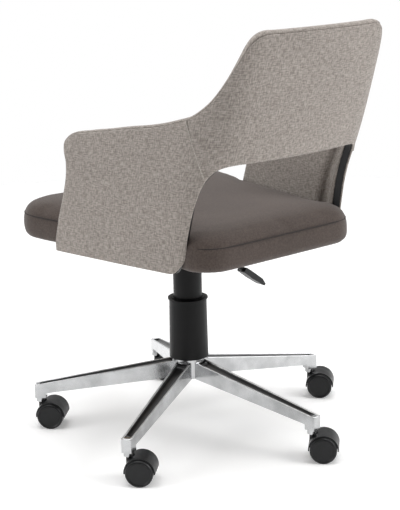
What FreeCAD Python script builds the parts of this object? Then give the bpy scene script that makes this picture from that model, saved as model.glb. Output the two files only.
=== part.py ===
import FreeCAD, Part
import BOPTools.SplitAPI
import math
import os
import Sketcher

# Swivel office chair with a wrap-round upholstered shell, a gas lift and a five-star base.
# Millimetres. +Z is up, the chair faces -Y, the sitter's left is +X.
# The origin is on the floor, on the axis of the column.

doc = FreeCAD.newDocument("SwivelOfficeChair")
sheet = doc.addObject("Spreadsheet::Sheet", "Dims")

SIZES = [
    # the five-star base
    ("base_radius", 300.0, "end of each base arm, from the column axis"),
    ("base_heading", 27.8, "turn of the first base arm from +X, in degrees"),
    ("arm_count", 5, "base arms and casters"),
    ("hub_radius", 30.0, "outside of the hub"),
    ("hub_bottom", 103.0, "height of the hub's lower face"),
    ("hub_top", 142.0, "height of the hub's upper face"),
    ("arm_root_top", 137.0, "height of the arm's top at the hub"),
    ("arm_root_width", 30.0, "width of a base arm at the hub"),
    ("arm_tip_width", 19.0, "width of a base arm at its tip"),
    ("arm_tip_top", 82.5, "height of the arm's top at its tip"),
    ("arm_tip_under", 64.0, "height of the arm's underside at its tip"),
    ("arm_rail", 3.2, "width of the raised rail each side of the arm's channel"),
    ("channel_depth", 4.0, "depth of the channel in the arm's top"),
    ("channel_inset", 9.0, "solid length left at the tip, past the channel"),
    ("socket_bottom", 49.5, "height of the caster socket's mouth"),
    ("socket_length", 21.0, "length of the socket block along the arm"),
    ("socket_radius", 9.6, "outside radius of the socket's lower end"),
    ("socket_neck_top", 57.0, "height where the round lower end meets the block"),
    # the casters
    ("wheel_radius", 25.0, "tread radius"),
    ("wheel_width", 22.5, "width of one wheel"),
    ("wheel_gap", 12.0, "space between the two wheels"),
    ("wheel_hollow", 5.0, "depth of the hollow in the wheel's inner face"),
    ("hub_cap_recess", 1.5, "depth of the dished outer face of a wheel"),
    ("trail", 21.0, "wheel axle behind the swivel axis"),
    ("caster_heading", 132.0, "direction the wheels trail in, in degrees from +X"),
    ("hood_radius", 28.0, "outside of the hood over the wheels"),
    ("hood_wall", 2.2, "thickness of the hood"),
    ("hood_width", 46.0, "width of the hood across both wheels"),
    ("hood_web", 11.0, "thickness of the web between the wheels"),
    ("hood_drop", 2.0, "how far the hood's two ends come below the axle"),
    ("stem_radius", 5.5, "radius of the caster's steel stem"),
    ("shank_radius", 4.0, "radius of the stem inside the hood"),
    ("shank_foot", 29.0, "height of the stem's lower end"),
    ("stem_length", 22.0, "stem length inside its socket"),
    ("axle_radius", 4.0, "radius of the wheel axle"),
    ("running_gap", 0.05, "radial clearance of a running fit"),
    ("close_gap", 0.3, "gap between faces that only lie near each other"),
    # the gas lift and its covers
    ("tube_radius", 25.0, "outside of the standing tube"),
    ("tube_wall", 1.8, "wall of the standing tube"),
    ("tube_top", 268.0, "height of the standing tube's mouth"),
    ("tube_floor", 4.0, "thickness of the standing tube's bottom plate"),
    ("cylinder_radius", 14.0, "outside of the pressure cylinder"),
    ("cylinder_wall", 1.8, "wall of the pressure cylinder"),
    ("cylinder_bottom", 123.0, "height of the pressure cylinder's end, seat lowered"),
    ("cylinder_plug", 12.0, "length of the seal in the cylinder's lower end"),
    ("cylinder_head", 10.0, "length of the closed head of the cylinder"),
    ("rod_radius", 5.0, "radius of the piston rod"),
    ("rod_top", 250.0, "height of the piston rod's upper end"),
    ("piston_height", 8.0, "height of the piston"),
    ("bush_length", 62.0, "length of the guide bush in the standing tube"),
    ("bush_flange", 3.0, "thickness of the guide bush's flange"),
    ("race_radius", 18.0, "outside of the thrust bearing's races"),
    ("race_height", 2.0, "thickness of a race"),
    ("ball_radius", 1.7, "radius of a bearing ball"),
    ("ball_circle", 12.0, "radius of the circle of balls"),
    ("ball_count", 10, "number of bearing balls"),
    ("clip_radius", 9.0, "outside of the clip under the standing tube"),
    ("clip_height", 2.5, "thickness of the clip"),
    ("cover_wall", 1.6, "wall of the telescopic covers"),
    ("cover_gap", 0.4, "gap between the sliding covers"),
    ("lip_reach", 1.8, "how far a cover's lip reaches over the gap"),
    ("lip_height", 2.5, "height of a cover's lip"),
    ("cover_rim", 2.4, "how far the lower cover's rim stands out"),
    ("lower_cover_top", 259.0, "height of the lower cover's rim"),
    ("lower_cover_flare", 1.6, "extra wall at the lower cover's foot"),
    ("middle_cover_bottom", 150.0, "height of the middle cover's lower end"),
    ("upper_cover_bottom", 154.0, "height of the upper cover's lower end"),
    # the seat mechanism
    ("plate_under", 382.0, "height of the seat plate's lower face"),
    ("plate_thickness", 3.0, "thickness of the seat plate"),
    ("plate_width", 150.0, "seat plate, side to side"),
    ("plate_front", -85.0, "front edge of the seat plate"),
    ("plate_back", 145.0, "rear edge of the seat plate"),
    ("plate_flange", 20.0, "depth of the plate's folded front and rear edges"),
    ("socket_height", 49.0, "height of the seat plate's socket for the cylinder"),
    ("socket_wall", 5.0, "wall of the seat plate's socket"),
    ("socket_collar", 28.0, "radius of the collar at the socket's mouth"),
    ("bar_width", 30.0, "width of a cross bar"),
    ("bar_thickness", 4.0, "thickness of a cross bar"),
    ("bar_front", -55.0, "centre line of the front cross bar"),
    ("bar_back", 115.0, "centre line of the rear cross bar"),
    ("tab_height", 41.0, "height of the cross bar's upturned ends"),
    ("bolt_radius", 3.0, "radius of the M6 bolts"),
    ("bolt_head_radius", 5.5, "radius of the M6 button heads"),
    ("bolt_head_height", 3.2, "height of the M6 button heads"),
    ("plate_bolt_offset", 60.0, "plate bolts, from the centre line"),
    ("arm_bolt_height", 29.0, "arm bolts, above the cross bar's underside"),
    ("nut_barrel", 4.0, "radius of a tee nut's barrel"),
    ("nut_flange", 9.0, "radius of a tee nut's flange"),
    ("nut_flange_thickness", 1.2, "thickness of a tee nut's flange"),
    ("lever_pivot_x", -34.0, "lever pivot, from the column axis"),
    ("lever_pivot_drop", 17.0, "lever pivot, below the seat plate"),
    ("lever_slope", 36.7, "slope of the lever below level, in degrees"),
    ("lever_radius", 4.0, "radius of the lever rod"),
    ("lever_length", 198.0, "pivot to the tip of the handle"),
    ("handle_length", 66.0, "length of the lever's handle"),
    ("handle_width", 22.0, "width of the handle's paddle"),
    ("handle_thickness", 12.0, "thickness of the handle"),
    ("boss_radius", 6.0, "radius of the lever's pivot boss"),
    ("ear_gap", 22.0, "space between the pivot ears"),
    ("ear_thickness", 3.0, "thickness of a pivot ear"),
    ("pin_radius", 4.0, "radius of the release pin"),
    ("pin_length", 15.0, "length of the release pin"),
    # the seat
    ("board_thickness", 12.0, "thickness of the plywood seat board"),
    ("board_inset", 22.0, "seat board's edge inside the cushion's side"),
    ("seat_bottom", 384.0, "height of the cushion's lower edge"),
    ("seat_shoulder", 432.0, "height of the top of the cushion's sides"),
    ("seat_crown", 453.0, "height of the cushion's crown"),
    ("seat_front", -235.0, "front of the cushion"),
    ("seat_back", 272.0, "rear of the cushion"),
    ("seat_front_corner", 64.0, "plan radius of the front corners"),
    ("seat_back_corner", 57.0, "plan radius of the rear corners"),
    ("seat_back_half", 183.0, "half width of the cushion behind the arms"),
    # the shell
    ("shell_corner_x", 115.0, "centre of the shell's rear corners, from the centre line"),
    ("shell_corner", 85.0, "outer plan radius of the shell's rear corners"),
    ("shell_bow", 900.0, "outer plan radius of the bowed back"),
    ("arm_splay", 8.9, "splay of the arms in plan, in degrees"),
    ("shell_bottom", 379.0, "height of the arms' lower edge"),
    ("bend_height", 507.0, "height where the wall starts to lean back"),
    ("middle_height", 600.0, "height where the lean eases"),
    ("shell_top", 792.0, "height of the top edge"),
    ("corner_foot", 171.0, "corner centre behind the column, at the arms' lower edge"),
    ("corner_bend", 186.0, "corner centre behind the column, at the bend"),
    ("corner_middle", 219.0, "corner centre behind the column, where the lean eases"),
    ("corner_top", 280.0, "corner centre behind the column, at the top edge"),
    ("window_top", 571.0, "height of the back's lower edge"),
    ("arm_front_top", 588.0, "height of the arm's front top corner"),
    ("arm_rear_top", 650.0, "height of the arm's top where it turns up into the back"),
    ("arm_front", -86.0, "front of the arms, at their foot"),
    ("cover_cloth", 4.0, "thickness of the padded outer cover"),
    ("core_thickness", 12.0, "thickness of the moulded shell core"),
    ("pad_thickness", 14.0, "thickness of the inner pad"),
    ("core_inset", 8.0, "core's edge below the upholstered edge"),
    ("pad_rear_inset", 42.0, "inner pad's edge, in front of the arm's rear edge"),
    ("pad_bottom", 431.0, "height of the inner pad's lower edge on the arms"),
]

for row, (name, value, note) in enumerate(SIZES, 1):
    sheet.set(f"A{row}", name)
    sheet.set(f"B{row}", str(value))
    sheet.setAlias(f"B{row}", name)
    sheet.set(f"C{row}", note)
doc.recompute()


class Size:
    """A number together with the spreadsheet expression that gives it."""

    def __init__(self, value, text):
        self.value = float(value)
        self.text = text

    def __add__(self, other):
        other = size(other)
        return Size(self.value + other.value, f"({self.text} + {other.text})")

    def __sub__(self, other):
        other = size(other)
        return Size(self.value - other.value, f"({self.text} - {other.text})")

    def __mul__(self, other):
        other = size(other)
        return Size(self.value * other.value, f"({self.text} * {other.text})")

    def __truediv__(self, other):
        other = size(other)
        return Size(self.value / other.value, f"({self.text} / {other.text})")

    def __radd__(self, other):
        return size(other) + self

    def __rsub__(self, other):
        return size(other) - self

    def __rmul__(self, other):
        return size(other) * self

    def __neg__(self):
        return Size(-self.value, f"(0 - {self.text})")

    def __float__(self):
        return self.value


def size(value):
    return value if isinstance(value, Size) else Size(value, f"({value})")


def cosine(angle):
    return Size(math.cos(math.radians(float(angle))), f"cos(({angle.text}) * 1deg)")


def sine(angle):
    return Size(math.sin(math.radians(float(angle))), f"sin(({angle.text}) * 1deg)")


class Dimensions:
    """Every cell of the sheet, by its alias."""

    def __init__(self):
        for name, _, _ in SIZES:
            setattr(self, name, Size(sheet.get(name), f"Dims.{name}"))


d = Dimensions()
parts = {}


# ---------------------------------------------------------------- drawing helpers

def bind(target, path, value, unit=""):
    """Ties one property to the sheet."""
    target.setExpression(path, value.text + unit)


def place(target, x=0.0, y=0.0, z=0.0, turn=None, axis=(0, 0, 1)):
    """Puts an object in place, with every coordinate tied to the sheet."""
    x, y, z = size(x), size(y), size(z)
    angle = 0.0 if turn is None else float(turn)
    rotation = FreeCAD.Rotation(FreeCAD.Vector(*axis), angle)
    target.Placement = FreeCAD.Placement(FreeCAD.Vector(float(x), float(y), float(z)), rotation)
    bind(target, "Placement.Base.x", x)
    bind(target, "Placement.Base.y", y)
    bind(target, "Placement.Base.z", z)
    if turn is not None:
        bind(target, "Placement.Rotation.Angle", size(turn), " * 1deg")


def new_body(label):
    body = doc.addObject("PartDesign::Body", label)
    body.Label = label
    parts[label] = body
    return body


def new_sketch(body, plane, height=None):
    """A sketch on one of the body's own origin planes, raised along its normal."""
    sketch = body.newObject("Sketcher::SketchObject", f"{body.Name}_sketch")
    flat = [f for f in body.Origin.OriginFeatures if f.Role == plane][0]
    sketch.AttachmentSupport = (flat, "")
    sketch.MapMode = "FlatFace"
    if height is not None:
        bind(sketch, "AttachmentOffset.Base.z", size(height))
    return sketch


def tie_point(sketch, geometry, point, x, y):
    """Fixes one point of a sketch at a place given by the sheet."""
    for kind, value, axis in (("DistanceX", x, -2), ("DistanceY", y, -1)):
        if abs(value.value) < 1e-9:
            sketch.addConstraint(Sketcher.Constraint("PointOnObject", geometry, point, axis))
        else:
            rule = Sketcher.Constraint(kind, -1, 1, geometry, point, value.value)
            index = sketch.addConstraint(rule)
            bind(sketch, f"Constraints[{index}]", value)


def draw_outline(sketch, points):
    """A closed outline of straight lines through points."""
    points = [(size(x), size(y)) for x, y in points]
    spots = [FreeCAD.Vector(float(x), float(y), 0) for x, y in points]
    first = sketch.GeometryCount
    count = len(spots)
    for index in range(count):
        sketch.addGeometry(Part.LineSegment(spots[index], spots[(index + 1) % count]))
    for index in range(count):
        after = first + (index + 1) % count
        sketch.addConstraint(Sketcher.Constraint("Coincident", first + index, 2, after, 1))
    for index, (x, y) in enumerate(points):
        tie_point(sketch, first + index, 1, x, y)


def draw_circle(sketch, x, y, radius):
    x, y, radius = size(x), size(y), size(radius)
    centre = FreeCAD.Vector(float(x), float(y), 0)
    circle = Part.Circle(centre, FreeCAD.Vector(0, 0, 1), float(radius))
    geometry = sketch.addGeometry(circle)
    tie_point(sketch, geometry, 3, x, y)
    index = sketch.addConstraint(Sketcher.Constraint("Radius", geometry, radius.value))
    bind(sketch, f"Constraints[{index}]", radius)


def rectangle(left, right, low, high):
    return [(left, low), (right, low), (right, high), (left, high)]


def revolve(body, points, cut=False):
    """Turns an outline of radius and height round the body's Z axis."""
    sketch = new_sketch(body, "XZ_Plane")
    draw_outline(sketch, points)
    kind = "PartDesign::Groove" if cut else "PartDesign::Revolution"
    feature = body.newObject(kind, f"{body.Name}_turned")
    feature.Profile = sketch
    feature.ReferenceAxis = (sketch, ["V_Axis"])
    feature.Angle = 360
    return feature


def turned_part(label, points):
    body = new_body(label)
    revolve(body, points)
    return body


def pad(body, sketch, length, both_ways=False):
    feature = body.newObject("PartDesign::Pad", f"{body.Name}_pad")
    feature.Profile = sketch
    feature.Midplane = both_ways
    bind(feature, "Length", size(length))
    return feature


def pocket(body, sketch, length=None, both_ways=False, reverse=False):
    feature = body.newObject("PartDesign::Pocket", f"{body.Name}_pocket")
    feature.Profile = sketch
    feature.Midplane = both_ways
    feature.Reversed = reverse
    if length is None:
        feature.Type = 1
    else:
        bind(feature, "Length", size(length))
    return feature


def loft(body, sketches, cut=False):
    kind = "PartDesign::SubtractiveLoft" if cut else "PartDesign::AdditiveLoft"
    feature = body.newObject(kind, f"{body.Name}_loft")
    feature.Profile = sketches[0]
    feature.Sections = sketches[1:]
    feature.Ruled = True
    return feature


def round_edges(body, radius, wanted, chamfer=False):
    """Rounds or chamfers the edges of the body's last shape that a test picks out."""
    doc.recompute()
    base = body.Tip
    names = [f"Edge{i}" for i, e in enumerate(base.Shape.Edges, 1) if wanted(e)]
    kind = "PartDesign::Chamfer" if chamfer else "PartDesign::Fillet"
    feature = body.newObject(kind, f"{body.Name}_edges")
    feature.Base = (base, names)
    bind(feature, "Size" if chamfer else "Radius", size(radius))
    return feature


def primitive(kind, name, **sizes):
    item = doc.addObject(f"Part::{kind}", name)
    for key, value in sizes.items():
        bind(item, key, size(value))
    return item


def join(name, items):
    fused = doc.addObject("Part::MultiFuse", name)
    fused.Shapes = items
    return fused


def cut_away(name, base, tool):
    result = doc.addObject("Part::Cut", name)
    result.Base = base
    result.Tool = tool
    return result


def group_of_solids(label, items):
    """Like pieces that share one node."""
    node = doc.addObject("Part::Compound", label)
    node.Label = label
    node.Links = items
    parts[label] = node
    return node


def shaped_part(label, shape):
    node = doc.addObject("Part::Feature", label)
    node.Label = label
    node.Shape = shape
    parts[label] = node
    return node


# ---------------------------------------------------------------- star base

stem_circle = d.base_radius - d.socket_length / 2


def make_star_base():
    """Die-cast hub with five tapered arms, each with a channelled top and a caster socket."""
    body = new_body("star_base")
    revolve(body, rectangle(0, d.hub_radius, d.hub_bottom, d.hub_top))
    features = []
    root = d.hub_radius * 0.5
    sections = [
        (root, d.arm_root_width / 2, d.hub_bottom + 1, d.arm_root_top),
        (d.base_radius, d.arm_tip_width / 2, d.arm_tip_under, d.arm_tip_top),
    ]
    sketches = []
    for along, half, low, high in sections:
        sketch = new_sketch(body, "YZ_Plane", along)
        draw_outline(sketch, rectangle(-half, half, low, high))
        sketches.append(sketch)
    features.append(loft(body, sketches))
    sketch = new_sketch(body, "XY_Plane", d.socket_neck_top)
    start = d.base_radius - d.socket_length
    half = d.arm_tip_width / 2
    draw_outline(sketch, rectangle(start, d.base_radius, -half, half))
    features.append(pad(body, sketch, d.arm_tip_top - d.socket_neck_top - 4))
    sketch = new_sketch(body, "XY_Plane", d.socket_bottom)
    draw_circle(sketch, stem_circle, 0, d.socket_radius)
    features.append(pad(body, sketch, d.socket_neck_top - d.socket_bottom + 2))
    channel = []
    fall = (d.arm_root_top - d.arm_tip_top) / (d.base_radius - root)
    narrowing = (d.arm_root_width - d.arm_tip_width) / (d.base_radius - root) / 2
    for along in (d.hub_radius + 2, d.base_radius - d.channel_inset):
        top = d.arm_root_top - fall * (along - root)
        half = d.arm_root_width / 2 - narrowing * (along - root) - d.arm_rail
        sketch = new_sketch(body, "YZ_Plane", along)
        draw_outline(sketch, rectangle(-half, half, top - d.channel_depth, top + 5))
        channel.append(sketch)
    features.append(loft(body, channel, cut=True))
    sketch = new_sketch(body, "XY_Plane", d.socket_bottom)
    draw_circle(sketch, stem_circle, 0, d.stem_radius + d.running_gap)
    features.append(pocket(body, sketch, d.stem_length + 1, reverse=True))
    pattern = body.newObject("PartDesign::PolarPattern", "star_base_pattern")
    pattern.Originals = features
    pattern.Axis = ([f for f in body.Origin.OriginFeatures if f.Role == "Z_Axis"][0], [""])
    pattern.Angle = 360
    pattern.Occurrences = int(d.arm_count.value)
    bind(pattern, "Occurrences", d.arm_count)
    body.Tip = pattern
    bore = d.tube_radius + d.running_gap
    revolve(body, rectangle(0, bore, d.hub_bottom - 1, d.hub_top + 6), cut=True)
    place(body, turn=d.base_heading)


# ---------------------------------------------------------------- gas lift

tube_bottom = d.hub_bottom + 1
race_bottom = tube_bottom + d.tube_floor
ball_height = race_bottom + d.race_height + d.ball_radius + d.close_gap
upper_race_bottom = ball_height + d.ball_radius + d.close_gap
buffer_bottom = upper_race_bottom + d.race_height
cylinder_top = d.plate_under - 12
cylinder_bore = d.cylinder_radius - d.cylinder_wall


def make_standing_tube():
    inner = d.tube_radius - d.tube_wall
    hole = d.rod_radius + 0.6
    turned_part("standing_tube", [
        (hole, tube_bottom),
        (d.tube_radius, tube_bottom),
        (d.tube_radius, d.tube_top),
        (inner, d.tube_top),
        (inner, race_bottom),
        (hole, race_bottom),
    ])


def make_guide_bush():
    """Plastic sleeve that guides the pressure cylinder in the mouth of the standing tube."""
    bore = d.cylinder_radius + d.running_gap
    outer = d.tube_radius - d.tube_wall
    turned_part("guide_bush", [
        (bore, d.tube_top - d.bush_length),
        (outer, d.tube_top - d.bush_length),
        (outer, d.tube_top),
        (d.tube_radius, d.tube_top),
        (d.tube_radius, d.tube_top + d.bush_flange),
        (bore, d.tube_top + d.bush_flange),
    ])


def make_pressure_cylinder():
    """Closed gas cylinder: a seal round the rod below, a head with the release valve above."""
    seal = d.rod_radius + d.running_gap
    valve = d.pin_radius + d.running_gap
    turned_part("pressure_cylinder", [
        (seal, d.cylinder_bottom),
        (d.cylinder_radius, d.cylinder_bottom),
        (d.cylinder_radius, cylinder_top),
        (valve, cylinder_top),
        (valve, cylinder_top - d.cylinder_head),
        (cylinder_bore, cylinder_top - d.cylinder_head),
        (cylinder_bore, d.cylinder_bottom + d.cylinder_plug),
        (seal, d.cylinder_bottom + d.cylinder_plug),
    ])


def make_piston_rod():
    piston = cylinder_bore - d.close_gap
    turned_part("piston_rod", [
        (0, tube_bottom - d.clip_height - 1),
        (d.rod_radius, tube_bottom - d.clip_height - 1),
        (d.rod_radius, d.rod_top - d.piston_height),
        (piston, d.rod_top - d.piston_height),
        (piston, d.rod_top),
        (0, d.rod_top),
    ])


def ring(label, inner, outer, low, high):
    return turned_part(label, rectangle(inner, outer, low, high))


def make_thrust_bearing():
    """Races, balls and buffer at the foot of the rod, and the clip that holds it all."""
    eye = d.rod_radius + d.running_gap
    low = race_bottom
    ring("bearing_race_lower", d.rod_radius + 0.6, d.race_radius, low, low + d.race_height)
    ring("bearing_race_upper", eye, d.race_radius, upper_race_bottom, buffer_bottom)
    ring("rubber_buffer", eye, d.race_radius - 4, buffer_bottom, d.cylinder_bottom - d.close_gap)
    clip_top = tube_bottom - d.close_gap
    ring("retaining_clip", eye, d.clip_radius, clip_top - d.clip_height, clip_top)
    balls = []
    for index in range(int(d.ball_count.value)):
        angle = size(360.0 * index) / d.ball_count
        ball = primitive("Sphere", f"ball_{index + 1}", Radius=d.ball_radius)
        place(ball, d.ball_circle * cosine(angle), d.ball_circle * sine(angle), ball_height)
        balls.append(ball)
    group_of_solids("bearing_balls", balls)


# ---------------------------------------------------------------- telescopic covers

upper_inner = d.tube_radius + 0.7
upper_outer = upper_inner + d.cover_wall
middle_inner = upper_outer + d.cover_gap * 2 + d.lip_reach
middle_outer = middle_inner + d.cover_wall
lower_inner = middle_outer + d.cover_gap * 2 + d.lip_reach
lower_outer = lower_inner + d.cover_wall
socket_mouth = d.plate_under - d.socket_height


def cover_tube(label, inner, outer, low, high):
    """A sliding cover with a lip outwards at its foot and a lip inwards at its rim."""
    return turned_part(label, [
        (inner, low),
        (outer + d.lip_reach, low),
        (outer + d.lip_reach, low + d.lip_height),
        (outer, low + d.lip_height),
        (outer, high),
        (inner - d.lip_reach, high),
        (inner - d.lip_reach, high - d.lip_height),
        (inner, high - d.lip_height),
    ])


def make_covers():
    foot = d.hub_top + d.close_gap
    rim = d.lower_cover_top
    turned_part("lower_cover", [
        (lower_inner, foot),
        (lower_outer + d.lower_cover_flare, foot),
        (lower_outer, rim - d.lip_height),
        (lower_outer + d.cover_rim, rim - d.lip_height),
        (lower_outer + d.cover_rim, rim),
        (lower_inner - d.lip_reach, rim),
        (lower_inner - d.lip_reach, rim - d.lip_height),
        (lower_inner, rim - d.lip_height),
    ])
    cover_tube("middle_cover", middle_inner, middle_outer, d.middle_cover_bottom, rim + 1)
    low = d.upper_cover_bottom
    turned_part("upper_cover", [
        (upper_inner, low),
        (upper_outer + d.lip_reach, low),
        (upper_outer + d.lip_reach, low + d.lip_height),
        (upper_outer, low + d.lip_height),
        (upper_outer, socket_mouth),
        (upper_inner, socket_mouth),
    ])


# ---------------------------------------------------------------- casters

wheel_inner = d.wheel_gap / 2
wheel_middle = wheel_inner + d.wheel_width / 2


def make_stem(label, x, y):
    """Steel stem: a thick end pressed into the base and a shank the hood turns on."""
    low = d.shank_foot
    mouth = d.socket_bottom
    high = mouth + d.stem_length
    turned = turned_part(label, [
        (0, low),
        (d.shank_radius, low),
        (d.shank_radius, mouth),
        (d.stem_radius, mouth),
        (d.stem_radius, high - 1.5),
        (d.stem_radius - 1.5, high),
        (0, high),
    ])
    place(turned, x, y)


def make_hood(label, x, y):
    """Moulded hood: a bridge over both wheels, a web between them and a neck for the stem."""
    body = new_body(label)
    axle = d.wheel_radius
    inner = d.hood_radius - d.hood_wall
    sketch = new_sketch(body, "XZ_Plane")
    draw_circle(sketch, d.trail, axle, d.hood_radius)
    pad(body, sketch, d.hood_width, both_ways=True)
    for side in (1, -1):
        sketch = new_sketch(body, "XZ_Plane", side * d.hood_web / 2)
        draw_circle(sketch, d.trail, axle, inner)
        pocket(body, sketch, d.hood_width, reverse=side > 0)
    sketch = new_sketch(body, "XZ_Plane")
    reach = d.hood_radius + 2
    under = axle - d.hood_drop
    draw_outline(sketch, rectangle(d.trail - reach, d.trail + reach, -10, under))
    pocket(body, sketch, d.hood_width + 2, both_ways=True)
    # the hood is cleared away round the socket's mouth
    neck_top = d.socket_bottom - d.close_gap
    sketch = new_sketch(body, "XY_Plane", neck_top)
    draw_circle(sketch, 0, 0, d.socket_radius + 0.9)
    pocket(body, sketch, d.hood_radius, reverse=True)
    sketch = new_sketch(body, "XY_Plane", under)
    draw_circle(sketch, 0, 0, d.hood_web / 2)
    pad(body, sketch, neck_top - under)
    sketch = new_sketch(body, "XY_Plane", d.shank_foot - d.close_gap)
    draw_circle(sketch, 0, 0, d.shank_radius + d.running_gap)
    pocket(body, sketch, d.socket_bottom, reverse=True)
    sketch = new_sketch(body, "XZ_Plane")
    draw_circle(sketch, d.trail, axle, d.axle_radius + d.running_gap)
    pocket(body, sketch, d.hood_width + 2, both_ways=True)
    place(body, x, y, 0, turn=d.caster_heading)


def make_axle(label, x, y):
    half = wheel_inner + d.wheel_width - d.hub_cap_recess - 2
    axle = primitive("Cylinder", label, Radius=d.axle_radius, Height=half * 2)
    axle.Label = label
    parts[label] = axle
    heading = d.caster_heading
    # the cylinder's own Z is laid along the axle, and starts at one end of it
    px = x + d.trail * cosine(heading) + half * sine(heading)
    py = y + d.trail * sine(heading) - half * cosine(heading)
    turn = FreeCAD.Rotation(FreeCAD.Vector(0, 0, 1), float(heading))
    turn = turn.multiply(FreeCAD.Rotation(FreeCAD.Vector(1, 0, 0), -90))
    spot = FreeCAD.Vector(float(px), float(py), float(d.wheel_radius))
    axle.Placement = FreeCAD.Placement(spot, turn)
    bind(axle, "Placement.Base.x", px)
    bind(axle, "Placement.Base.y", py)
    bind(axle, "Placement.Base.z", d.wheel_radius)


def make_wheel(label, x, y, side):
    """One solid wheel: hollow towards the web, dished on its outer face."""
    body = new_body(label)
    sketch = new_sketch(body, "XY_Plane")
    bore = d.axle_radius + d.running_gap
    low = -d.wheel_width / 2
    high = d.wheel_width / 2
    tread = d.wheel_radius
    cap = high - d.hub_cap_recess
    outline = [
        (bore, low),
        (bore + 4, low),
        (bore + 4, low + d.wheel_hollow),
        (tread - 4, low + d.wheel_hollow),
        (tread - 4, low),
        (tread - 1, low),
        (tread, low + 1),
        (tread, high - 3),
        (tread - 1.5, high - 0.6),
        (tread - 3.5, high),
        (tread - 5.5, cap),
        (0, cap),
        (0, cap - 1.7),
        (bore, cap - 1.7),
    ]
    draw_outline(sketch, [(radius, size(height) * side) for radius, height in outline])
    feature = body.newObject("PartDesign::Revolution", f"{label}_turned")
    feature.Profile = sketch
    feature.ReferenceAxis = (sketch, ["V_Axis"])
    feature.Angle = 360
    heading = d.caster_heading
    out = wheel_middle * side
    px = x + d.trail * cosine(heading) - out * sine(heading)
    py = y + d.trail * sine(heading) + out * cosine(heading)
    place(body, px, py, d.wheel_radius, turn=heading)


def make_casters():
    for index in range(int(d.arm_count.value)):
        angle = d.base_heading + size(360.0 * index) / d.arm_count
        x = stem_circle * cosine(angle)
        y = stem_circle * sine(angle)
        number = index + 1
        make_stem(f"caster_{number}_stem", x, y)
        make_hood(f"caster_{number}_hood", x, y)
        make_axle(f"caster_{number}_axle", x, y)
        make_wheel(f"caster_{number}_wheel_left", x, y, 1)
        make_wheel(f"caster_{number}_wheel_right", x, y, -1)


# ---------------------------------------------------------------- seat mechanism

lever_height = d.plate_under - d.lever_pivot_drop
pin_top = cylinder_top + 5.5


def make_seat_plate():
    """Pressed plate with folded ends, the cylinder's socket and two ears for the lever."""
    body = new_body("seat_plate")
    half = d.plate_width / 2
    sketch = new_sketch(body, "XY_Plane", d.plate_under)
    draw_outline(sketch, rectangle(-half, half, d.plate_front, d.plate_back))
    pad(body, sketch, d.plate_thickness)
    sketch = new_sketch(body, "XY_Plane", d.plate_under - d.plate_flange)
    wall = d.plate_thickness
    draw_outline(sketch, rectangle(-half, half, d.plate_front, d.plate_front + wall))
    draw_outline(sketch, rectangle(-half, half, d.plate_back - wall, d.plate_back))
    pad(body, sketch, d.plate_flange)
    bore = d.cylinder_radius + d.running_gap
    outer = bore + d.socket_wall
    revolve(body, [
        (bore, socket_mouth),
        (d.socket_collar, socket_mouth),
        (d.socket_collar, socket_mouth + 3),
        (outer, socket_mouth + 3),
        (outer, cylinder_top - d.cylinder_head),
        (bore, cylinder_top - d.cylinder_head),
    ])
    # four webs carry the socket under the plate
    web = 3.0
    low = socket_mouth + 3
    for first, second in ((outer - 1, half * 0.6), (-half * 0.6, 1 - outer)):
        sketch = new_sketch(body, "XY_Plane", low)
        draw_outline(sketch, rectangle(first, second, 14, 14 + web))
        draw_outline(sketch, rectangle(first, second, -14 - web, -14))
        pad(body, sketch, d.plate_under - low)
    sketch = new_sketch(body, "XY_Plane", low)
    draw_outline(sketch, rectangle(-outer, outer, 14, 14 + web))
    draw_outline(sketch, rectangle(-outer, outer, -14 - web, -14))
    pad(body, sketch, d.plate_under - low)
    sketch = new_sketch(body, "XY_Plane", socket_mouth - 1)
    draw_circle(sketch, 0, 0, bore)
    pocket(body, sketch, cylinder_top - socket_mouth + 1, reverse=True)
    ear = d.ear_gap / 2
    reach = 8.0
    sketch = new_sketch(body, "XY_Plane", lever_height - reach)
    left = d.lever_pivot_x - reach
    right = d.lever_pivot_x + reach
    draw_outline(sketch, rectangle(left, right, ear, ear + d.ear_thickness))
    draw_outline(sketch, rectangle(left, right, -ear - d.ear_thickness, -ear))
    pad(body, sketch, d.plate_under - lever_height + reach)
    sketch = new_sketch(body, "XZ_Plane")
    draw_circle(sketch, d.lever_pivot_x, lever_height, d.bolt_radius)
    pocket(body, sketch, d.ear_gap * 2, both_ways=True)
    sketch = new_sketch(body, "XY_Plane", d.plate_under - 1)
    for across in (-d.plate_bolt_offset, d.plate_bolt_offset):
        for along in (d.bar_front, d.bar_back):
            draw_circle(sketch, across, along, d.bolt_radius + d.close_gap)
    pocket(body, sketch, d.plate_thickness + 2, reverse=True)


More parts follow.
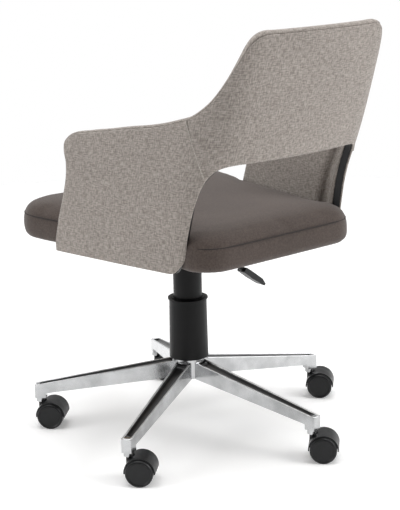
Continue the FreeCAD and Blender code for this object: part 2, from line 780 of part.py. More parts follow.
def make_lever():
    """Steel lever: a tongue over the release pin, a pivot boss and a rod that slopes down."""
    span = d.ear_gap - 2 * d.close_gap
    boss = primitive("Cylinder", "lever_boss", Radius=d.boss_radius, Height=span)
    place(boss, d.lever_pivot_x, span / 2, lever_height, turn=90, axis=(1, 0, 0))
    tongue = primitive("Box", "lever_tongue", Length=4 - d.lever_pivot_x, Width=10, Height=3.5)
    place(tongue, d.lever_pivot_x, -5, pin_top + d.close_gap)
    post = primitive("Box", "lever_post", Length=8, Width=10, Height=pin_top - lever_height + 3)
    place(post, d.lever_pivot_x - 4, -5, lever_height)
    rod_length = d.lever_length - d.handle_length / 2
    rod = primitive("Cylinder", "lever_shaft", Radius=d.lever_radius, Height=rod_length)
    place(rod, d.lever_pivot_x, 0, lever_height, turn=-90 - d.lever_slope, axis=(0, 1, 0))
    solid = join("lever_solid", [boss, tongue, post, rod])
    eye = primitive("Cylinder", "lever_eye", Radius=d.bolt_radius + d.running_gap, Height=span + 4)
    place(eye, d.lever_pivot_x, span / 2 + 2, lever_height, turn=90, axis=(1, 0, 0))
    lever = cut_away("lever_rod", solid, eye)
    lever.Label = "lever_rod"
    parts["lever_rod"] = lever


def make_lever_handle():
    """Moulded paddle on the end of the lever, drawn along +X and then tilted into place."""
    body = new_body("lever_handle")
    end = d.lever_length
    start = end - d.handle_length
    half = d.handle_thickness / 2
    neck = d.lever_radius + 1.5
    sketch = new_sketch(body, "XZ_Plane")
    draw_outline(sketch, [
        (start, -neck),
        (start + d.handle_length * 0.35, -half),
        (end - d.handle_length * 0.2, -half),
        (end, 0 - half * 0.2),
        (end, half * 0.6),
        (start + d.handle_length * 0.45, half),
        (start, neck),
    ])
    pad(body, sketch, d.handle_width, both_ways=True)
    sketch = new_sketch(body, "YZ_Plane", start - 1)
    draw_circle(sketch, 0, 0, d.lever_radius + d.running_gap)
    pocket(body, sketch, d.handle_length / 2 + 1.5, reverse=True)
    place(body, d.lever_pivot_x, 0, lever_height, turn=180 - d.lever_slope, axis=(0, 1, 0))
    round_edges(body, 2.5, lambda e: abs(e.Length - d.handle_width.value) < 0.01)


def make_mechanism_pins():
    height = d.ear_gap + 2 * d.ear_thickness + 4
    pin = primitive("Cylinder", "lever_pivot_pin", Radius=d.bolt_radius, Height=height)
    pin.Label = "lever_pivot_pin"
    place(pin, d.lever_pivot_x, height / 2, lever_height, turn=90, axis=(1, 0, 0))
    parts["lever_pivot_pin"] = pin
    release = primitive("Cylinder", "release_pin", Radius=d.pin_radius, Height=d.pin_length)
    release.Label = "release_pin"
    place(release, 0, 0, pin_top - d.pin_length)
    parts["release_pin"] = release


# ---------------------------------------------------------------- shell geometry

def number(value):
    return float(value)


def corner_y(height):
    """How far the corner's centre lies behind the column axis at a height."""
    levels = [number(v) for v in (d.shell_bottom, d.bend_height, d.middle_height, d.shell_top)]
    depths = [number(v) for v in (d.corner_foot, d.corner_bend, d.corner_middle, d.corner_top)]
    step = 0
    while step < 2 and height > levels[step + 1]:
        step += 1
    share = (height - levels[step]) / (levels[step + 1] - levels[step])
    return depths[step] + share * (depths[step + 1] - depths[step])


def plan_points(height, inset):
    """Right half of the shell's plan at a height: arm front, three tangent points, middle."""
    centre_x = number(d.shell_corner_x)
    centre_y = corner_y(height)
    corner = number(d.shell_corner) - inset
    bow = number(d.shell_bow) - inset
    splay = math.radians(number(d.arm_splay))
    tangent = (centre_x + corner * math.cos(splay), centre_y + corner * math.sin(splay))
    front_y = number(d.seat_front)
    front = (tangent[0] + (tangent[1] - front_y) * math.tan(splay), front_y)
    reach = number(d.shell_bow) - number(d.shell_corner)
    bow_y = centre_y - math.sqrt(reach ** 2 - centre_x ** 2)
    unit = (centre_x / reach, (centre_y - bow_y) / reach)
    turn = (bow * unit[0], bow_y + bow * unit[1])
    middle_angle = (splay + math.atan2(unit[1], unit[0])) / 2
    halfway = (centre_x + corner * math.cos(middle_angle),
               centre_y + corner * math.sin(middle_angle))
    return front, tangent, halfway, turn, (0.0, bow_y + bow)


def plan_wire(height, outer, inner):
    """Closed U-shaped section of the shell between two insets."""
    def spot(point, sign):
        return FreeCAD.Vector(sign * point[0], point[1], height)

    def side(inset):
        front, tangent, halfway, turn, middle = plan_points(height, inset)
        return [
            Part.LineSegment(spot(front, 1), spot(tangent, 1)),
            Part.Arc(spot(tangent, 1), spot(halfway, 1), spot(turn, 1)),
            Part.Arc(spot(turn, 1), spot(middle, 1), spot(turn, -1)),
            Part.Arc(spot(turn, -1), spot(halfway, -1), spot(tangent, -1)),
            Part.LineSegment(spot(tangent, -1), spot(front, -1)),
        ]

    outside = [curve.toShape() for curve in side(outer)]
    inside = [curve.toShape() for curve in side(inner)]
    outside_front = plan_points(height, outer)[0]
    inside_front = plan_points(height, inner)[0]
    ends = [Part.LineSegment(spot(outside_front, s), spot(inside_front, s)).toShape() for s in (1, -1)]
    edges = outside + [ends[1]] + inside + [ends[0]]
    return Part.Wire(Part.__sortEdges__(edges))


def shell_slab(outer, inner):
    """The full U-shaped wall between two insets, leaning back as it rises."""
    low = number(d.shell_bottom) - 20
    high = number(d.shell_top) + 20
    bend = number(d.bend_height)
    middle = number(d.middle_height)
    heights = [low, bend - 70, bend - 20, bend + 22, middle, middle + 70, high]
    return Part.makeLoft([plan_wire(z, outer, inner) for z in heights], True, False)


def wall_frame(across, height):
    """Point on the shell's outer face and its outward direction; across runs round the wall.

    From 0 at the middle of the back, the face is bowed, then turns the corner, then runs
    straight forward along the arm. Positive values are on the sitter's left.
    """
    centre_x = number(d.shell_corner_x)
    corner = number(d.shell_corner)
    bow = number(d.shell_bow)
    splay = math.radians(number(d.arm_splay))
    centre_y = corner_y(height)
    side = 1 if across >= 0 else -1
    along = abs(across)
    turn = math.asin(centre_x / (bow - corner))
    bow_y = centre_y - math.sqrt((bow - corner) ** 2 - centre_x ** 2)
    bow_length = bow * turn
    corner_length = corner * (math.pi / 2 - splay - turn)
    if along < bow_length:
        angle = along / bow
        point = (bow * math.sin(angle), bow_y + bow * math.cos(angle))
    else:
        angle = min(turn + (along - bow_length) / corner, math.pi / 2 - splay)
        beyond = max(along - bow_length - corner_length, 0.0)
        point = (centre_x + corner * math.sin(angle) + beyond * math.sin(splay),
                 centre_y + corner * math.cos(angle) - beyond * math.cos(splay))
    spot = FreeCAD.Vector(side * point[0], point[1], height)
    return spot, FreeCAD.Vector(side * math.sin(angle), math.cos(angle), 0)


def arm_across(y, height):
    """Distance round the wall of a place on the arm, from its place behind the column."""
    splay = math.radians(number(d.arm_splay))
    corner = number(d.shell_corner)
    turn = math.asin(number(d.shell_corner_x) / (number(d.shell_bow) - corner))
    start = number(d.shell_bow) * turn + corner * (math.pi / 2 - splay - turn)
    tangent_y = corner_y(height) + corner * math.sin(splay)
    return start + (tangent_y - y) / math.cos(splay)


def back_across(angle):
    """Distance round the wall of a place on the corner, from its angle off straight back."""
    corner = number(d.shell_corner)
    turn = math.asin(number(d.shell_corner_x) / (number(d.shell_bow) - corner))
    return number(d.shell_bow) * turn + corner * (math.radians(angle) - turn)


def upper_edge():
    """Left half of the shell's edge, from the arm's foot up, over the arm to the top centre."""
    front = number(d.arm_front)
    front_top = number(d.arm_front_top)
    rear_top = number(d.arm_rear_top)
    top = number(d.shell_top)
    low = number(d.shell_bottom)
    rise = rear_top - front_top
    arm = [
        (front + 2, low - 45),
        (front + 1, low - 20),
        (front, low + 12),
        (front + 5, low + 37),
        (front + 13, low + 63),
        (front + 28, low + 108),
        (front + 37, low + 140),
        (front + 40, low + 165),
        (front + 38, front_top - 19),
        (front + 41, front_top - 6),
        (front + 51, front_top + 4),
        (front + 104, front_top + rise * 0.31),
        (front + 143, front_top + rise * 0.41),
        (front + 199, front_top + rise * 0.565),
        (front + 236, front_top + rise * 0.65),
        (front + 272, front_top + rise * 0.76),
        (front + 307, front_top + rise * 0.905),
    ]
    edge = [(arm_across(y, z), z) for y, z in arm]
    climb = top - rear_top
    corner = [
        (81.0, 0.02), (74.0, 0.065), (59.8, 0.20), (51.2, 0.335), (44.5, 0.47), (38.8, 0.605),
        (33.5, 0.735), (28.2, 0.857), (23.5, 0.925), (17.0, 0.975), (8.1, 1.0),
    ]
    edge += [(back_across(angle), rear_top + climb * share) for angle, share in corner]
    edge += [(across, top) for across in (105.0, 80.0, 54.0, 27.0, 0.0)]
    return edge


def window_edge(rear_inset):
    """Left half of the edge round the open window, from the foot of the arm to the middle."""
    top = number(d.window_top)
    low = number(d.shell_bottom)
    rise = top - low
    sides = [
        (92.0, -0.24), (80.0, -0.1), (69.5, 0.01), (61.5, 0.1), (57.9, 0.33), (55.0, 0.50),
        (51.5, 0.655), (48.0, 0.79), (41.9, 0.905), (37.5, 0.945), (31.5, 0.975), (25.0, 0.99),
        (15.0, 1.0),
    ]
    edge = []
    for angle, share in sides:
        fade = min(max((1.0 - share) / 0.12, 0.0), 1.0)
        edge.append((back_across(angle) + rear_inset * fade, low + rise * share))
    return edge + [(across, top) for across in (105.0, 80.0, 54.0, 27.0, 0.0)]


def shifted(edge, inset):
    """The edge moved sideways by an inset, to the left of its direction of travel."""
    moved = []
    for index, (across, height) in enumerate(edge):
        before = edge[max(index - 1, 0)]
        after = edge[min(index + 1, len(edge) - 1)]
        run = (after[0] - before[0], after[1] - before[1])
        length = math.hypot(*run)
        moved.append((across + inset * run[1] / length, height - inset * run[0] / length))
    moved[-1] = (0.0, moved[-1][1])
    return moved


def curtain(edge):
    """A ruled strip square to the wall, all the way along an edge and its mirror image."""
    whole = edge + [(-across, height) for across, height in reversed(edge[:-1])]
    inside = []
    outside = []
    for across, height in whole:
        spot, out = wall_frame(across, height)
        inside.append(spot - out * 45)
        outside.append(spot + out * 25)
    curves = []
    for points in (inside, outside):
        spline = Part.BSplineCurve()
        spline.interpolate(points)
        curves.append(spline.toShape())
    return Part.makeRuledSurface(*curves)


def kept_wall(slab, top_inset, window_inset, rear_inset, bottom):
    """The part of a slab between the upper edge, the window and the arms' lower edge."""
    cuts = [curtain(shifted(upper_edge(), -top_inset)),
            curtain(shifted(window_edge(rear_inset), window_inset))]
    pieces = BOPTools.SplitAPI.slice(slab, cuts, "Split", 0.0).Solids
    height = (number(d.window_top) + number(d.shell_top)) / 2
    spot, out = wall_frame(0.0, height)
    kept = [p for p in pieces if p.distToShape(Part.makeLine(spot, spot - out * 40))[0] < 0.01]
    wide = 500.0
    box = Part.makeBox(2 * wide, 2 * wide, 900, FreeCAD.Vector(-wide, -wide, bottom))
    return max(kept, key=lambda p: p.Volume).common(box)


core_outer = d.cover_cloth + d.close_gap
core_inner = core_outer + d.core_thickness
pad_outer = core_inner + d.close_gap
pad_inner = pad_outer + d.pad_thickness


def arm_face_x(y, height, inset):
    """Half width of the arm's face at a place along it."""
    front, tangent, _, _, _ = plan_points(height, inset)
    share = (y - front[1]) / (tangent[1] - front[1])
    return front[0] + share * (tangent[0] - front[0])


def arm_stations():
    """Frames at the four arm bolts: a point on the core's inner face and its outward normal."""
    splay = math.radians(number(d.arm_splay))
    low = number(d.plate_under) - number(d.bar_thickness)
    height = low + number(d.arm_bolt_height)
    stations = []
    for y in (number(d.bar_front), number(d.bar_back)):
        x = arm_face_x(y, low, number(core_inner))
        for side in (1, -1):
            point = FreeCAD.Vector(side * x, y, height)
            normal = FreeCAD.Vector(side * math.cos(splay), math.sin(splay), 0)
            stations.append((point, normal, side))
    return stations


def make_shell():
    """Moulded core, padded outer cover and thick inner pad that wraps over the core's edge."""
    bottom = number(d.shell_bottom)
    gap = number(d.close_gap)
    inset = number(d.core_inset)
    cover = shell_slab(0.0, number(d.cover_cloth))
    shaped_part("outer_cover", kept_wall(cover, 0.0, 0.0, 0.0, bottom))
    core = shell_slab(number(core_outer), number(core_inner))
    core = kept_wall(core, inset, 1.0, 0.0, bottom + 1)
    hole = number(d.nut_barrel) + gap
    flange = number(d.nut_flange) + gap
    depth = number(d.nut_flange_thickness) + gap
    thick = number(d.core_thickness)
    for point, normal, _ in arm_stations():
        bore = Part.makeCylinder(hole, thick + 4, point - normal * 2, normal)
        seat = Part.makeCylinder(flange, depth + 4, point + normal * (thick - depth), normal)
        core = core.cut(bore).cut(seat)
    shaped_part("shell_core", core)
    # the pad is as deep as the core and the foam together, less the room the core takes
    slab = shell_slab(number(core_outer), number(pad_inner))
    padding = kept_wall(slab, 0.0, 2.0, number(d.pad_rear_inset), number(d.pad_bottom))
    room = kept_wall(shell_slab(0.0, number(pad_outer)), inset - gap, -4.0, -6.0, bottom - 4)
    shaped_part("inner_pad", padding.cut(room))


# ---------------------------------------------------------------- seat

def seat_wire(height, inset):
    """Plan of the cushion: sides along the arms, round corners, wider behind the arms."""
    side_inset = number(core_inner) + 0.6 + inset
    level = number(d.seat_bottom) + 20
    front_y = number(d.seat_front) + inset
    back_y = number(d.seat_back) - inset
    front_x = arm_face_x(front_y, level, side_inset)
    front_corner = max(number(d.seat_front_corner) - inset * 0.3, 20.0)
    back_corner = max(number(d.seat_back_corner) - inset * 0.3, 20.0)
    back_x = number(d.seat_back_half) - inset
    points = [(-front_x, front_y), (front_x, front_y), (back_x, back_y), (-back_x, back_y)]
    wire = Part.makePolygon([FreeCAD.Vector(x, y, height) for x, y in points + points[:1]])
    solid = Part.Face(wire).extrude(FreeCAD.Vector(0, 0, 1))
    upright = [e for e in solid.Edges if abs(e.Vertexes[0].Z - e.Vertexes[1].Z) > 0.5]
    fronts = [e for e in upright if e.Vertexes[0].Y < 0]
    solid = solid.makeFillet(front_corner, fronts)
    upright = [e for e in solid.Edges if abs(e.Vertexes[0].Z - e.Vertexes[-1].Z) > 0.5]
    backs = [e for e in upright if e.Vertexes[0].Y > back_y - 1]
    solid = solid.makeFillet(back_corner, backs)
    lower = [f for f in solid.Faces if abs(f.CenterOfMass.z - height) < 0.01][0]
    return lower.OuterWire


def cushion_levels():
    """Height and inset of each section of the cushion."""
    bottom = number(d.seat_bottom)
    shoulder = number(d.seat_shoulder)
    crown = number(d.seat_crown)
    return [
        (bottom, 6.0),
        (bottom + 9, 0.0),
        (shoulder - 14, 0.0),
        (shoulder, 8.0),
        (shoulder + (crown - shoulder) * 0.45, 32.0),
        (shoulder + (crown - shoulder) * 0.8, 72.0),
        (crown, 130.0),
    ]


board_bottom = d.plate_under + d.plate_thickness
bar_bottom = d.plate_under - d.bar_thickness


def make_seat_board():
    """Plywood board with bored holes for the four tee nuts."""
    inset = number(d.board_inset)
    bottom = number(board_bottom)
    board = Part.Face(seat_wire(bottom, inset)).extrude(
        FreeCAD.Vector(0, 0, number(d.board_thickness)))
    for side in (1, -1):
        for along in (d.bar_front, d.bar_back):
            spot = FreeCAD.Vector(side * number(d.plate_bolt_offset), number(along), bottom - 1)
            board = board.cut(Part.makeCylinder(number(d.nut_barrel) + 0.05, 30, spot))
    shaped_part("seat_board", board)


def tab_solid(station, near, far, half_wide, low, high):
    """A slab upright beside an arm: near and far are distances inwards from the core's face."""
    point, normal, _ = station
    along = FreeCAD.Vector(-normal.y, normal.x, 0)
    start = point - normal * far - along * half_wide
    start.z = low
    edges = [start, start + normal * (far - near), start + normal * (far - near) + along * half_wide * 2,
             start + along * half_wide * 2, start]
    return Part.Face(Part.makePolygon(edges)).extrude(FreeCAD.Vector(0, 0, high - low))


def make_cross_bars():
    """Two steel straps under the seat plate, each turned up at both ends beside the arms."""
    gap = number(d.close_gap)
    low = number(bar_bottom)
    thick = number(d.bar_thickness)
    half_wide = number(d.bar_width) / 2
    bolt = number(d.bolt_radius) + gap
    stations = arm_stations()
    bars = []
    for pair in (stations[:2], stations[2:]):
        y = pair[0][0].y
        half = pair[0][0].x - gap - thick
        bar = Part.makeBox(2 * half, 2 * half_wide, thick, FreeCAD.Vector(-half, y - half_wide, low))
        for station in pair:
            tab = tab_solid(station, gap, gap + thick, half_wide, low, low + number(d.tab_height))
            foot = tab_solid(station, gap, gap + thick + 8, half_wide, low, low + thick)
            hole = Part.makeCylinder(bolt, 20, station[0] - station[1] * 15, station[1])
            bar = bar.fuse([tab, foot]).cut(hole)
        for side in (1, -1):
            spot = FreeCAD.Vector(side * number(d.plate_bolt_offset), y, low - 1)
            bar = bar.cut(Part.makeCylinder(bolt, 10, spot))
        bars.append(bar.removeSplitter())
    shaped_part("cross_bars", Part.makeCompound(bars))


def make_cushion():
    """Foam cushion in its cover, open below for the board and notched for the bars and arms."""
    wires = [seat_wire(z, inset) for z, inset in cushion_levels()]
    cushion = Part.makeLoft(wires, True, True)
    gap = number(d.close_gap)
    bottom = number(d.seat_bottom)
    well = Part.Face(seat_wire(bottom - 1, number(d.board_inset) - gap)).extrude(
        FreeCAD.Vector(0, 0, number(board_bottom) + number(d.board_thickness) + 2.2 - bottom + 1))
    cushion = cushion.cut(well)
    high = number(bar_bottom) + number(d.tab_height) + 4
    half_wide = number(d.bar_width) / 2 + 3
    for station in arm_stations():
        cushion = cushion.cut(tab_solid(station, -30, number(d.board_inset) + 0.5, half_wide,
                                        bottom - 5, high))
    arms = kept_wall(shell_slab(-20.0, number(core_inner) + 0.5), -1.5, -1.5, 0.0, bottom - 15)
    cushion = cushion.cut(arms)
    slab = shell_slab(-20.0, number(pad_inner) + 0.5)
    over = kept_wall(slab, -1.5, 0.0, number(d.pad_rear_inset) - 3, number(d.pad_bottom) - 1)
    cushion = cushion.cut(over)
    solids = sorted(cushion.Solids, key=lambda s: s.Volume)
    shaped_part("seat_cushion", solids[-1])


# ---------------------------------------------------------------- fasteners

def bolt_solid(point, direction, shank, inset=0.0):
    """An M6 button-head bolt whose head bears on a point and whose shank runs onward."""
    head = number(d.bolt_head_height)
    radius = number(d.bolt_head_radius)
    top = Part.makeCone(radius * 0.62, radius, head, point - direction * head, direction)
    body = Part.makeCylinder(number(d.bolt_radius), shank, point, direction)
    key = Part.makeCylinder(2.0, head * 0.6, point - direction * head, direction)
    return top.fuse(body).cut(key)


def nut_solid(point, direction, length):
    """A tee nut whose flange ends at a point and whose barrel runs back from it."""
    flange = number(d.nut_flange_thickness)
    barrel = Part.makeCylinder(number(d.nut_barrel), length, point - direction * length, direction)
    disc = Part.makeCylinder(number(d.nut_flange), flange, point - direction * flange, direction)
    bore = Part.makeCylinder(number(d.bolt_radius) + 0.05, length + 2,
                             point - direction * (length + 1), direction)
    return barrel.fuse(disc).cut(bore)


def make_fasteners():
    up = FreeCAD.Vector(0, 0, 1)
    low = number(bar_bottom)
    thick = number(d.nut_flange_thickness)
    board_top = number(board_bottom) + number(d.board_thickness)
    bolts = []
    nuts = []
    for side in (1, -1):
        for along in (d.bar_front, d.bar_back):
            spot = FreeCAD.Vector(side * number(d.plate_bolt_offset), number(along), low)
            bolts.append(bolt_solid(spot, up, board_top - low))
            spot = FreeCAD.Vector(spot.x, spot.y, board_top + thick)
            nuts.append(nut_solid(spot, up, 9.0))
    shaped_part("plate_bolts", Part.makeCompound(bolts))
    shaped_part("plate_tee_nuts", Part.makeCompound(nuts))
    gap = number(d.close_gap)
    bar = number(d.bar_thickness)
    core = number(d.core_thickness)
    arm_bolts = []
    arm_nuts = []
    for point, normal, _ in arm_stations():
        arm_bolts.append(bolt_solid(point - normal * (gap + bar), normal, gap + bar + core - 1))
        arm_nuts.append(nut_solid(point + normal * (core - gap), normal, 9.0))
    shaped_part("arm_bolts", Part.makeCompound(arm_bolts))
    shaped_part("arm_tee_nuts", Part.makeCompound(arm_nuts))


# ---------------------------------------------------------------- build

make_star_base()
make_standing_tube()
make_guide_bush()
make_pressure_cylinder()
make_piston_rod()
make_thrust_bearing()
make_covers()
make_casters()
make_seat_plate()
make_lever()
make_lever_handle()
make_mechanism_pins()
make_shell()
make_seat_board()
make_cross_bars()
make_cushion()
make_fasteners()
doc.recompute()

# ---------------------------------------------------------------- check and write

for item in doc.Objects:
    bad = [state for state in item.State if state in ("Invalid", "Error")]
    if bad:
        raise RuntimeError(f"{item.Label} is {bad[0]}")
for label, item in parts.items():
    if item.Shape.isNull() or not item.Shape.isValid():
        raise RuntimeError(f"{label} has no valid shape")
    if not item.Shape.Solids:
        raise RuntimeError(f"{label} holds no solid")
os.makedirs("parts", exist_ok=True)
for label, item in parts.items():
    item.Shape.exportStep(f"parts/{label}.step")
print(len(parts), "parts written")
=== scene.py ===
"""Swivel office chair: an upholstered wrap-round shell on a gas lift and a five-arm caster base."""

import bmesh
import bpy
import math
from mathutils import Matrix, Vector


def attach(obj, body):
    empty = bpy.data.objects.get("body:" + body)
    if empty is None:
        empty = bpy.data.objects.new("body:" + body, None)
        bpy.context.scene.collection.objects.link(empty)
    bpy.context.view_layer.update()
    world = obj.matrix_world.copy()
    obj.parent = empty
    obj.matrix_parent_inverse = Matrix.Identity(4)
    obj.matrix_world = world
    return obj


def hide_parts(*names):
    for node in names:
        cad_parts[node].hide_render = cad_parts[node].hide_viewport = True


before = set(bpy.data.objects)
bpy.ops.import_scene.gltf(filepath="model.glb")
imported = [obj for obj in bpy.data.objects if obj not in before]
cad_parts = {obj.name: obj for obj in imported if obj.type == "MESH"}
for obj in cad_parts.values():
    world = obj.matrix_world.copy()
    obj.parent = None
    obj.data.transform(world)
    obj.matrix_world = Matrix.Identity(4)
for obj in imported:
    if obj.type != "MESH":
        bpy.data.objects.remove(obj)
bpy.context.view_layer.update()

# ---------------------------------------------------------------- star base
# Die-cast aluminium hub and five tapered arms, polished bright on the rails and sides, with a
# long channel down each arm's top that is left as cast and painted black. The rails' extra brightness
# is a painted highlight in their colour.


def hex_colour(code):
    """sRGB hex to linear, with alpha."""
    channels = [int(code[i:i + 2], 16) / 255 for i in (1, 3, 5)]
    return [c / 12.92 if c <= 0.04045 else ((c + 0.055) / 1.055) ** 2.4 for c in channels] + [1.0]


def add(tree, kind, sockets=None, **settings):
    """Adds a node with its settings; sockets maps an input to a value or to another node's output."""
    node = tree.nodes.new(kind)
    for name, value in settings.items():
        setattr(node, name, value)
    for name, value in (sockets or {}).items():
        if isinstance(value, bpy.types.NodeSocket):
            tree.links.new(value, node.inputs[name])
        else:
            node.inputs[name].default_value = value
    return node


def new_material(name, **values):
    """A material with constants set on the shader's own sockets; returns it, its tree and shader."""
    made = bpy.data.materials.new(name)
    made.use_nodes = True
    shader = made.node_tree.nodes["Principled BSDF"]
    for socket, value in values.items():
        shader.inputs[socket.replace("_", " ")].default_value = value
    return made, made.node_tree, shader


def mottle(tree, place, scale, low, high, detail=3.0):
    """Noise between two colours; returns the colour output and the noise itself."""
    noise = add(tree, "ShaderNodeTexNoise", {"Vector": place, "Scale": scale, "Detail": detail})
    # a noise's values crowd round its middle, so that part is spread over the whole range
    spread = add(tree, "ShaderNodeMapRange", {"Value": noise.outputs["Fac"],
                                              "From Min": 0.32, "From Max": 0.68})
    mix = add(tree, "ShaderNodeMix", {0: spread.outputs["Result"], 6: low, 7: high}, data_type="RGBA")
    return mix.outputs[2], spread.outputs["Result"]


def give(material, *nodes):
    """Puts a material on every slot of some CAD nodes."""
    for name in nodes:
        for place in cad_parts[name].material_slots:
            place.material = material


# Polished cast aluminium: a soft mirror, faintly clouded where the buffing wheel left it less bright.
polished_aluminium, tree, shader = new_material("polished_cast_aluminium", Metallic=1.0)
place = add(tree, "ShaderNodeTexCoord").outputs["Object"]
colour, cloud = mottle(tree, place, 30.0, hex_colour("#A9AAAB"), hex_colour("#C4C5C6"))
# buffing lines are a tenth of a millimetre; drawn at about one millimetre so that they show
grain = add(tree, "ShaderNodeTexNoise", {"Vector": place, "Scale": 900.0, "Detail": 2.0})
rough = add(tree, "ShaderNodeMapRange", {"Value": cloud, "To Min": 0.13, "To Max": 0.24})
bump = add(tree, "ShaderNodeBump", {"Height": grain.outputs["Fac"], "Strength": 0.04, "Distance": 0.0005})
tree.links.new(colour, shader.inputs["Base Color"])
tree.links.new(rough.outputs["Result"], shader.inputs["Roughness"])
tree.links.new(bump.outputs["Normal"], shader.inputs["Normal"])
give(polished_aluminium, "star_base")

# Black enamel in the channels: glossy, with the cast skin's slight unevenness under it.
channel_enamel, tree, shader = new_material("channel_black_enamel", Roughness=0.28)
place = add(tree, "ShaderNodeTexCoord").outputs["Object"]
colour, _ = mottle(tree, place, 160.0, hex_colour("#0B0B0C"), hex_colour("#161618"))
grain = add(tree, "ShaderNodeTexNoise", {"Vector": place, "Scale": 420.0, "Detail": 3.0})
bump = add(tree, "ShaderNodeBump", {"Height": grain.outputs["Fac"], "Strength": 0.12, "Distance": 0.0006})
tree.links.new(colour, shader.inputs["Base Color"])
tree.links.new(bump.outputs["Normal"], shader.inputs["Normal"])


def finished(name, shape, material, body):
    """Makes a smooth object of a bmesh, at the origin, and puts it on a body with its slot."""
    mesh = bpy.data.meshes.new(name)
    shape.to_mesh(mesh)
    shape.free()
    mesh.materials.append(material)
    mesh.shade_smooth()
    piece = bpy.data.objects.new(name, mesh)
    bpy.context.scene.collection.objects.link(piece)
    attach(piece, body)
    return piece


BASE_HEADING = math.radians(27.8)
ARM_START, ARM_TIP, ARM_AXIS_START = 0.0335, 0.2905, 0.015
ARM_TOP_HUB, ARM_TOP_TIP, ARM_REACH = 0.137, 0.0825, 0.300
ARM_HALF_HUB, ARM_HALF_TIP, ARM_RAIL = 0.0150, 0.0095, 0.0034
CHANNEL_DEPTH, ENAMEL, ENAMEL_CREEP = 0.004, 0.0006, 0.0022


def base_arm_size(reach):
    """Half width and height of the top of a base arm, at a distance out from the column."""
    share = (reach - ARM_AXIS_START) / (ARM_REACH - ARM_AXIS_START)
    half = ARM_HALF_HUB + share * (ARM_HALF_TIP - ARM_HALF_HUB)
    return half, ARM_TOP_HUB + share * (ARM_TOP_TIP - ARM_TOP_HUB)


for arm in range(5):
    heading = BASE_HEADING + arm * math.tau / 5
    along = Vector((math.cos(heading), math.sin(heading), 0))
    across = Vector((-math.sin(heading), math.cos(heading), 0))
    shape = bmesh.new()
    bmesh.ops.create_grid(shape, x_segments=24, y_segments=6, size=0.5)
    for vert in shape.verts:
        reach = ARM_START + (vert.co.x + 0.5) * (ARM_TIP - ARM_START)
        half, top = base_arm_size(reach)
        # the enamel creeps up the channel's sides
        creep = ENAMEL_CREEP * (2 * abs(vert.co.y)) ** 4
        vert.co = along * reach + across * (2 * vert.co.y * (half - ARM_RAIL))
        vert.co.z = top - CHANNEL_DEPTH + ENAMEL + creep
    bmesh.ops.solidify(shape, geom=shape.faces[:], thickness=-ENAMEL * 0.8)
    bmesh.ops.recalc_face_normals(shape, faces=shape.faces[:])
    finished(f"channel_enamel_{arm + 1}", shape, channel_enamel, "base")


def corded(name, route, radius, material, body, closed=False):
    """A round bead swept along a smooth line drawn near some places."""
    line = bpy.data.curves.new(name, "CURVE")
    line.dimensions = "3D"
    line.bevel_depth = radius
    line.bevel_resolution = 2
    line.use_fill_caps = not closed
    spline = line.splines.new("NURBS")
    spline.points.add(len(route) - 1)
    for point, spot in zip(spline.points, route):
        point.co = (*spot, 1.0)
    spline.order_u = 3
    spline.use_endpoint_u = not closed
    spline.use_cyclic_u = closed
    spline.resolution_u = 3
    drawn = bpy.data.objects.new(name, line)
    bpy.context.scene.collection.objects.link(drawn)
    mesh = bpy.data.meshes.new_from_object(drawn.evaluated_get(bpy.context.evaluated_depsgraph_get()))
    bpy.data.objects.remove(drawn)
    shape = bmesh.new()
    shape.from_mesh(mesh)
    bmesh.ops.recalc_face_normals(shape, faces=shape.faces[:])
    return finished(name, shape, material, body)


# Buffed rail: the same metal, brushed by hand along its length, so its shine is broader; its base colour
# is made lighter than the arm's as a painted highlight on the rounded rails.
rail_aluminium_painted_highlight, tree, shader = new_material("buffed_rail_painted_highlight", Metallic=1.0)
place = add(tree, "ShaderNodeTexCoord").outputs["Object"]
# this lighter pair of colours is the rails' painted highlight
colour, cloud = mottle(tree, place, 60.0, hex_colour("#D9DADB"), hex_colour("#EDEEEF"))
rough = add(tree, "ShaderNodeMapRange", {"Value": cloud, "To Min": 0.36, "To Max": 0.48})
tree.links.new(colour, shader.inputs["Base Color"])
tree.links.new(rough.outputs["Result"], shader.inputs["Roughness"])

# The rails beside each channel are rounded over and run together round the arm's tip: distances
# out from the column, each with its share of the way from the arm's middle to the rail.
RAIL_OUT = ((0.034, 1), (0.12, 1), (0.21, 1), (0.280, 1), (0.2935, 1), (0.2978, 0.9), (0.2985, 0.4))
RAIL_BACK = tuple((reach, -side) for reach, side in reversed(RAIL_OUT))
RAIL_SINK = 0.0006

for arm in range(5):
    heading = BASE_HEADING + arm * math.tau / 5
    route = []
    for reach, side in RAIL_OUT + RAIL_BACK:
        half, top = base_arm_size(reach)
        sideways = side * (half - ARM_RAIL / 2)
        route.append((reach * math.cos(heading) - sideways * math.sin(heading),
                      reach * math.sin(heading) + sideways * math.cos(heading), top - RAIL_SINK))
    corded(f"arm_rail_{arm + 1}", route, ARM_RAIL / 2, rail_aluminium_painted_highlight, "base")

# ---------------------------------------------------------------- casters
# Twin-wheel nylon casters: a moulded hood and two plain disc wheels on a steel axle, each on a
# bright steel stem pressed into the arm's tip.

# Moulded nylon: deep black, satin, with the fine spark texture of the mould.
caster_nylon, tree, shader = new_material("moulded_nylon", Specular_IOR_Level=0.35)
place = add(tree, "ShaderNodeTexCoord").outputs["Object"]
colour, cloud = mottle(tree, place, 70.0, hex_colour("#0C0D0E"), hex_colour("#141517"))
grain = add(tree, "ShaderNodeTexNoise", {"Vector": place, "Scale": 1300.0, "Detail": 2.0})
rough = add(tree, "ShaderNodeMapRange", {"Value": cloud, "To Min": 0.34, "To Max": 0.46})
bump = add(tree, "ShaderNodeBump", {"Height": grain.outputs["Fac"], "Strength": 0.08, "Distance": 0.0004})
tree.links.new(colour, shader.inputs["Base Color"])
tree.links.new(rough.outputs["Result"], shader.inputs["Roughness"])
tree.links.new(bump.outputs["Normal"], shader.inputs["Normal"])

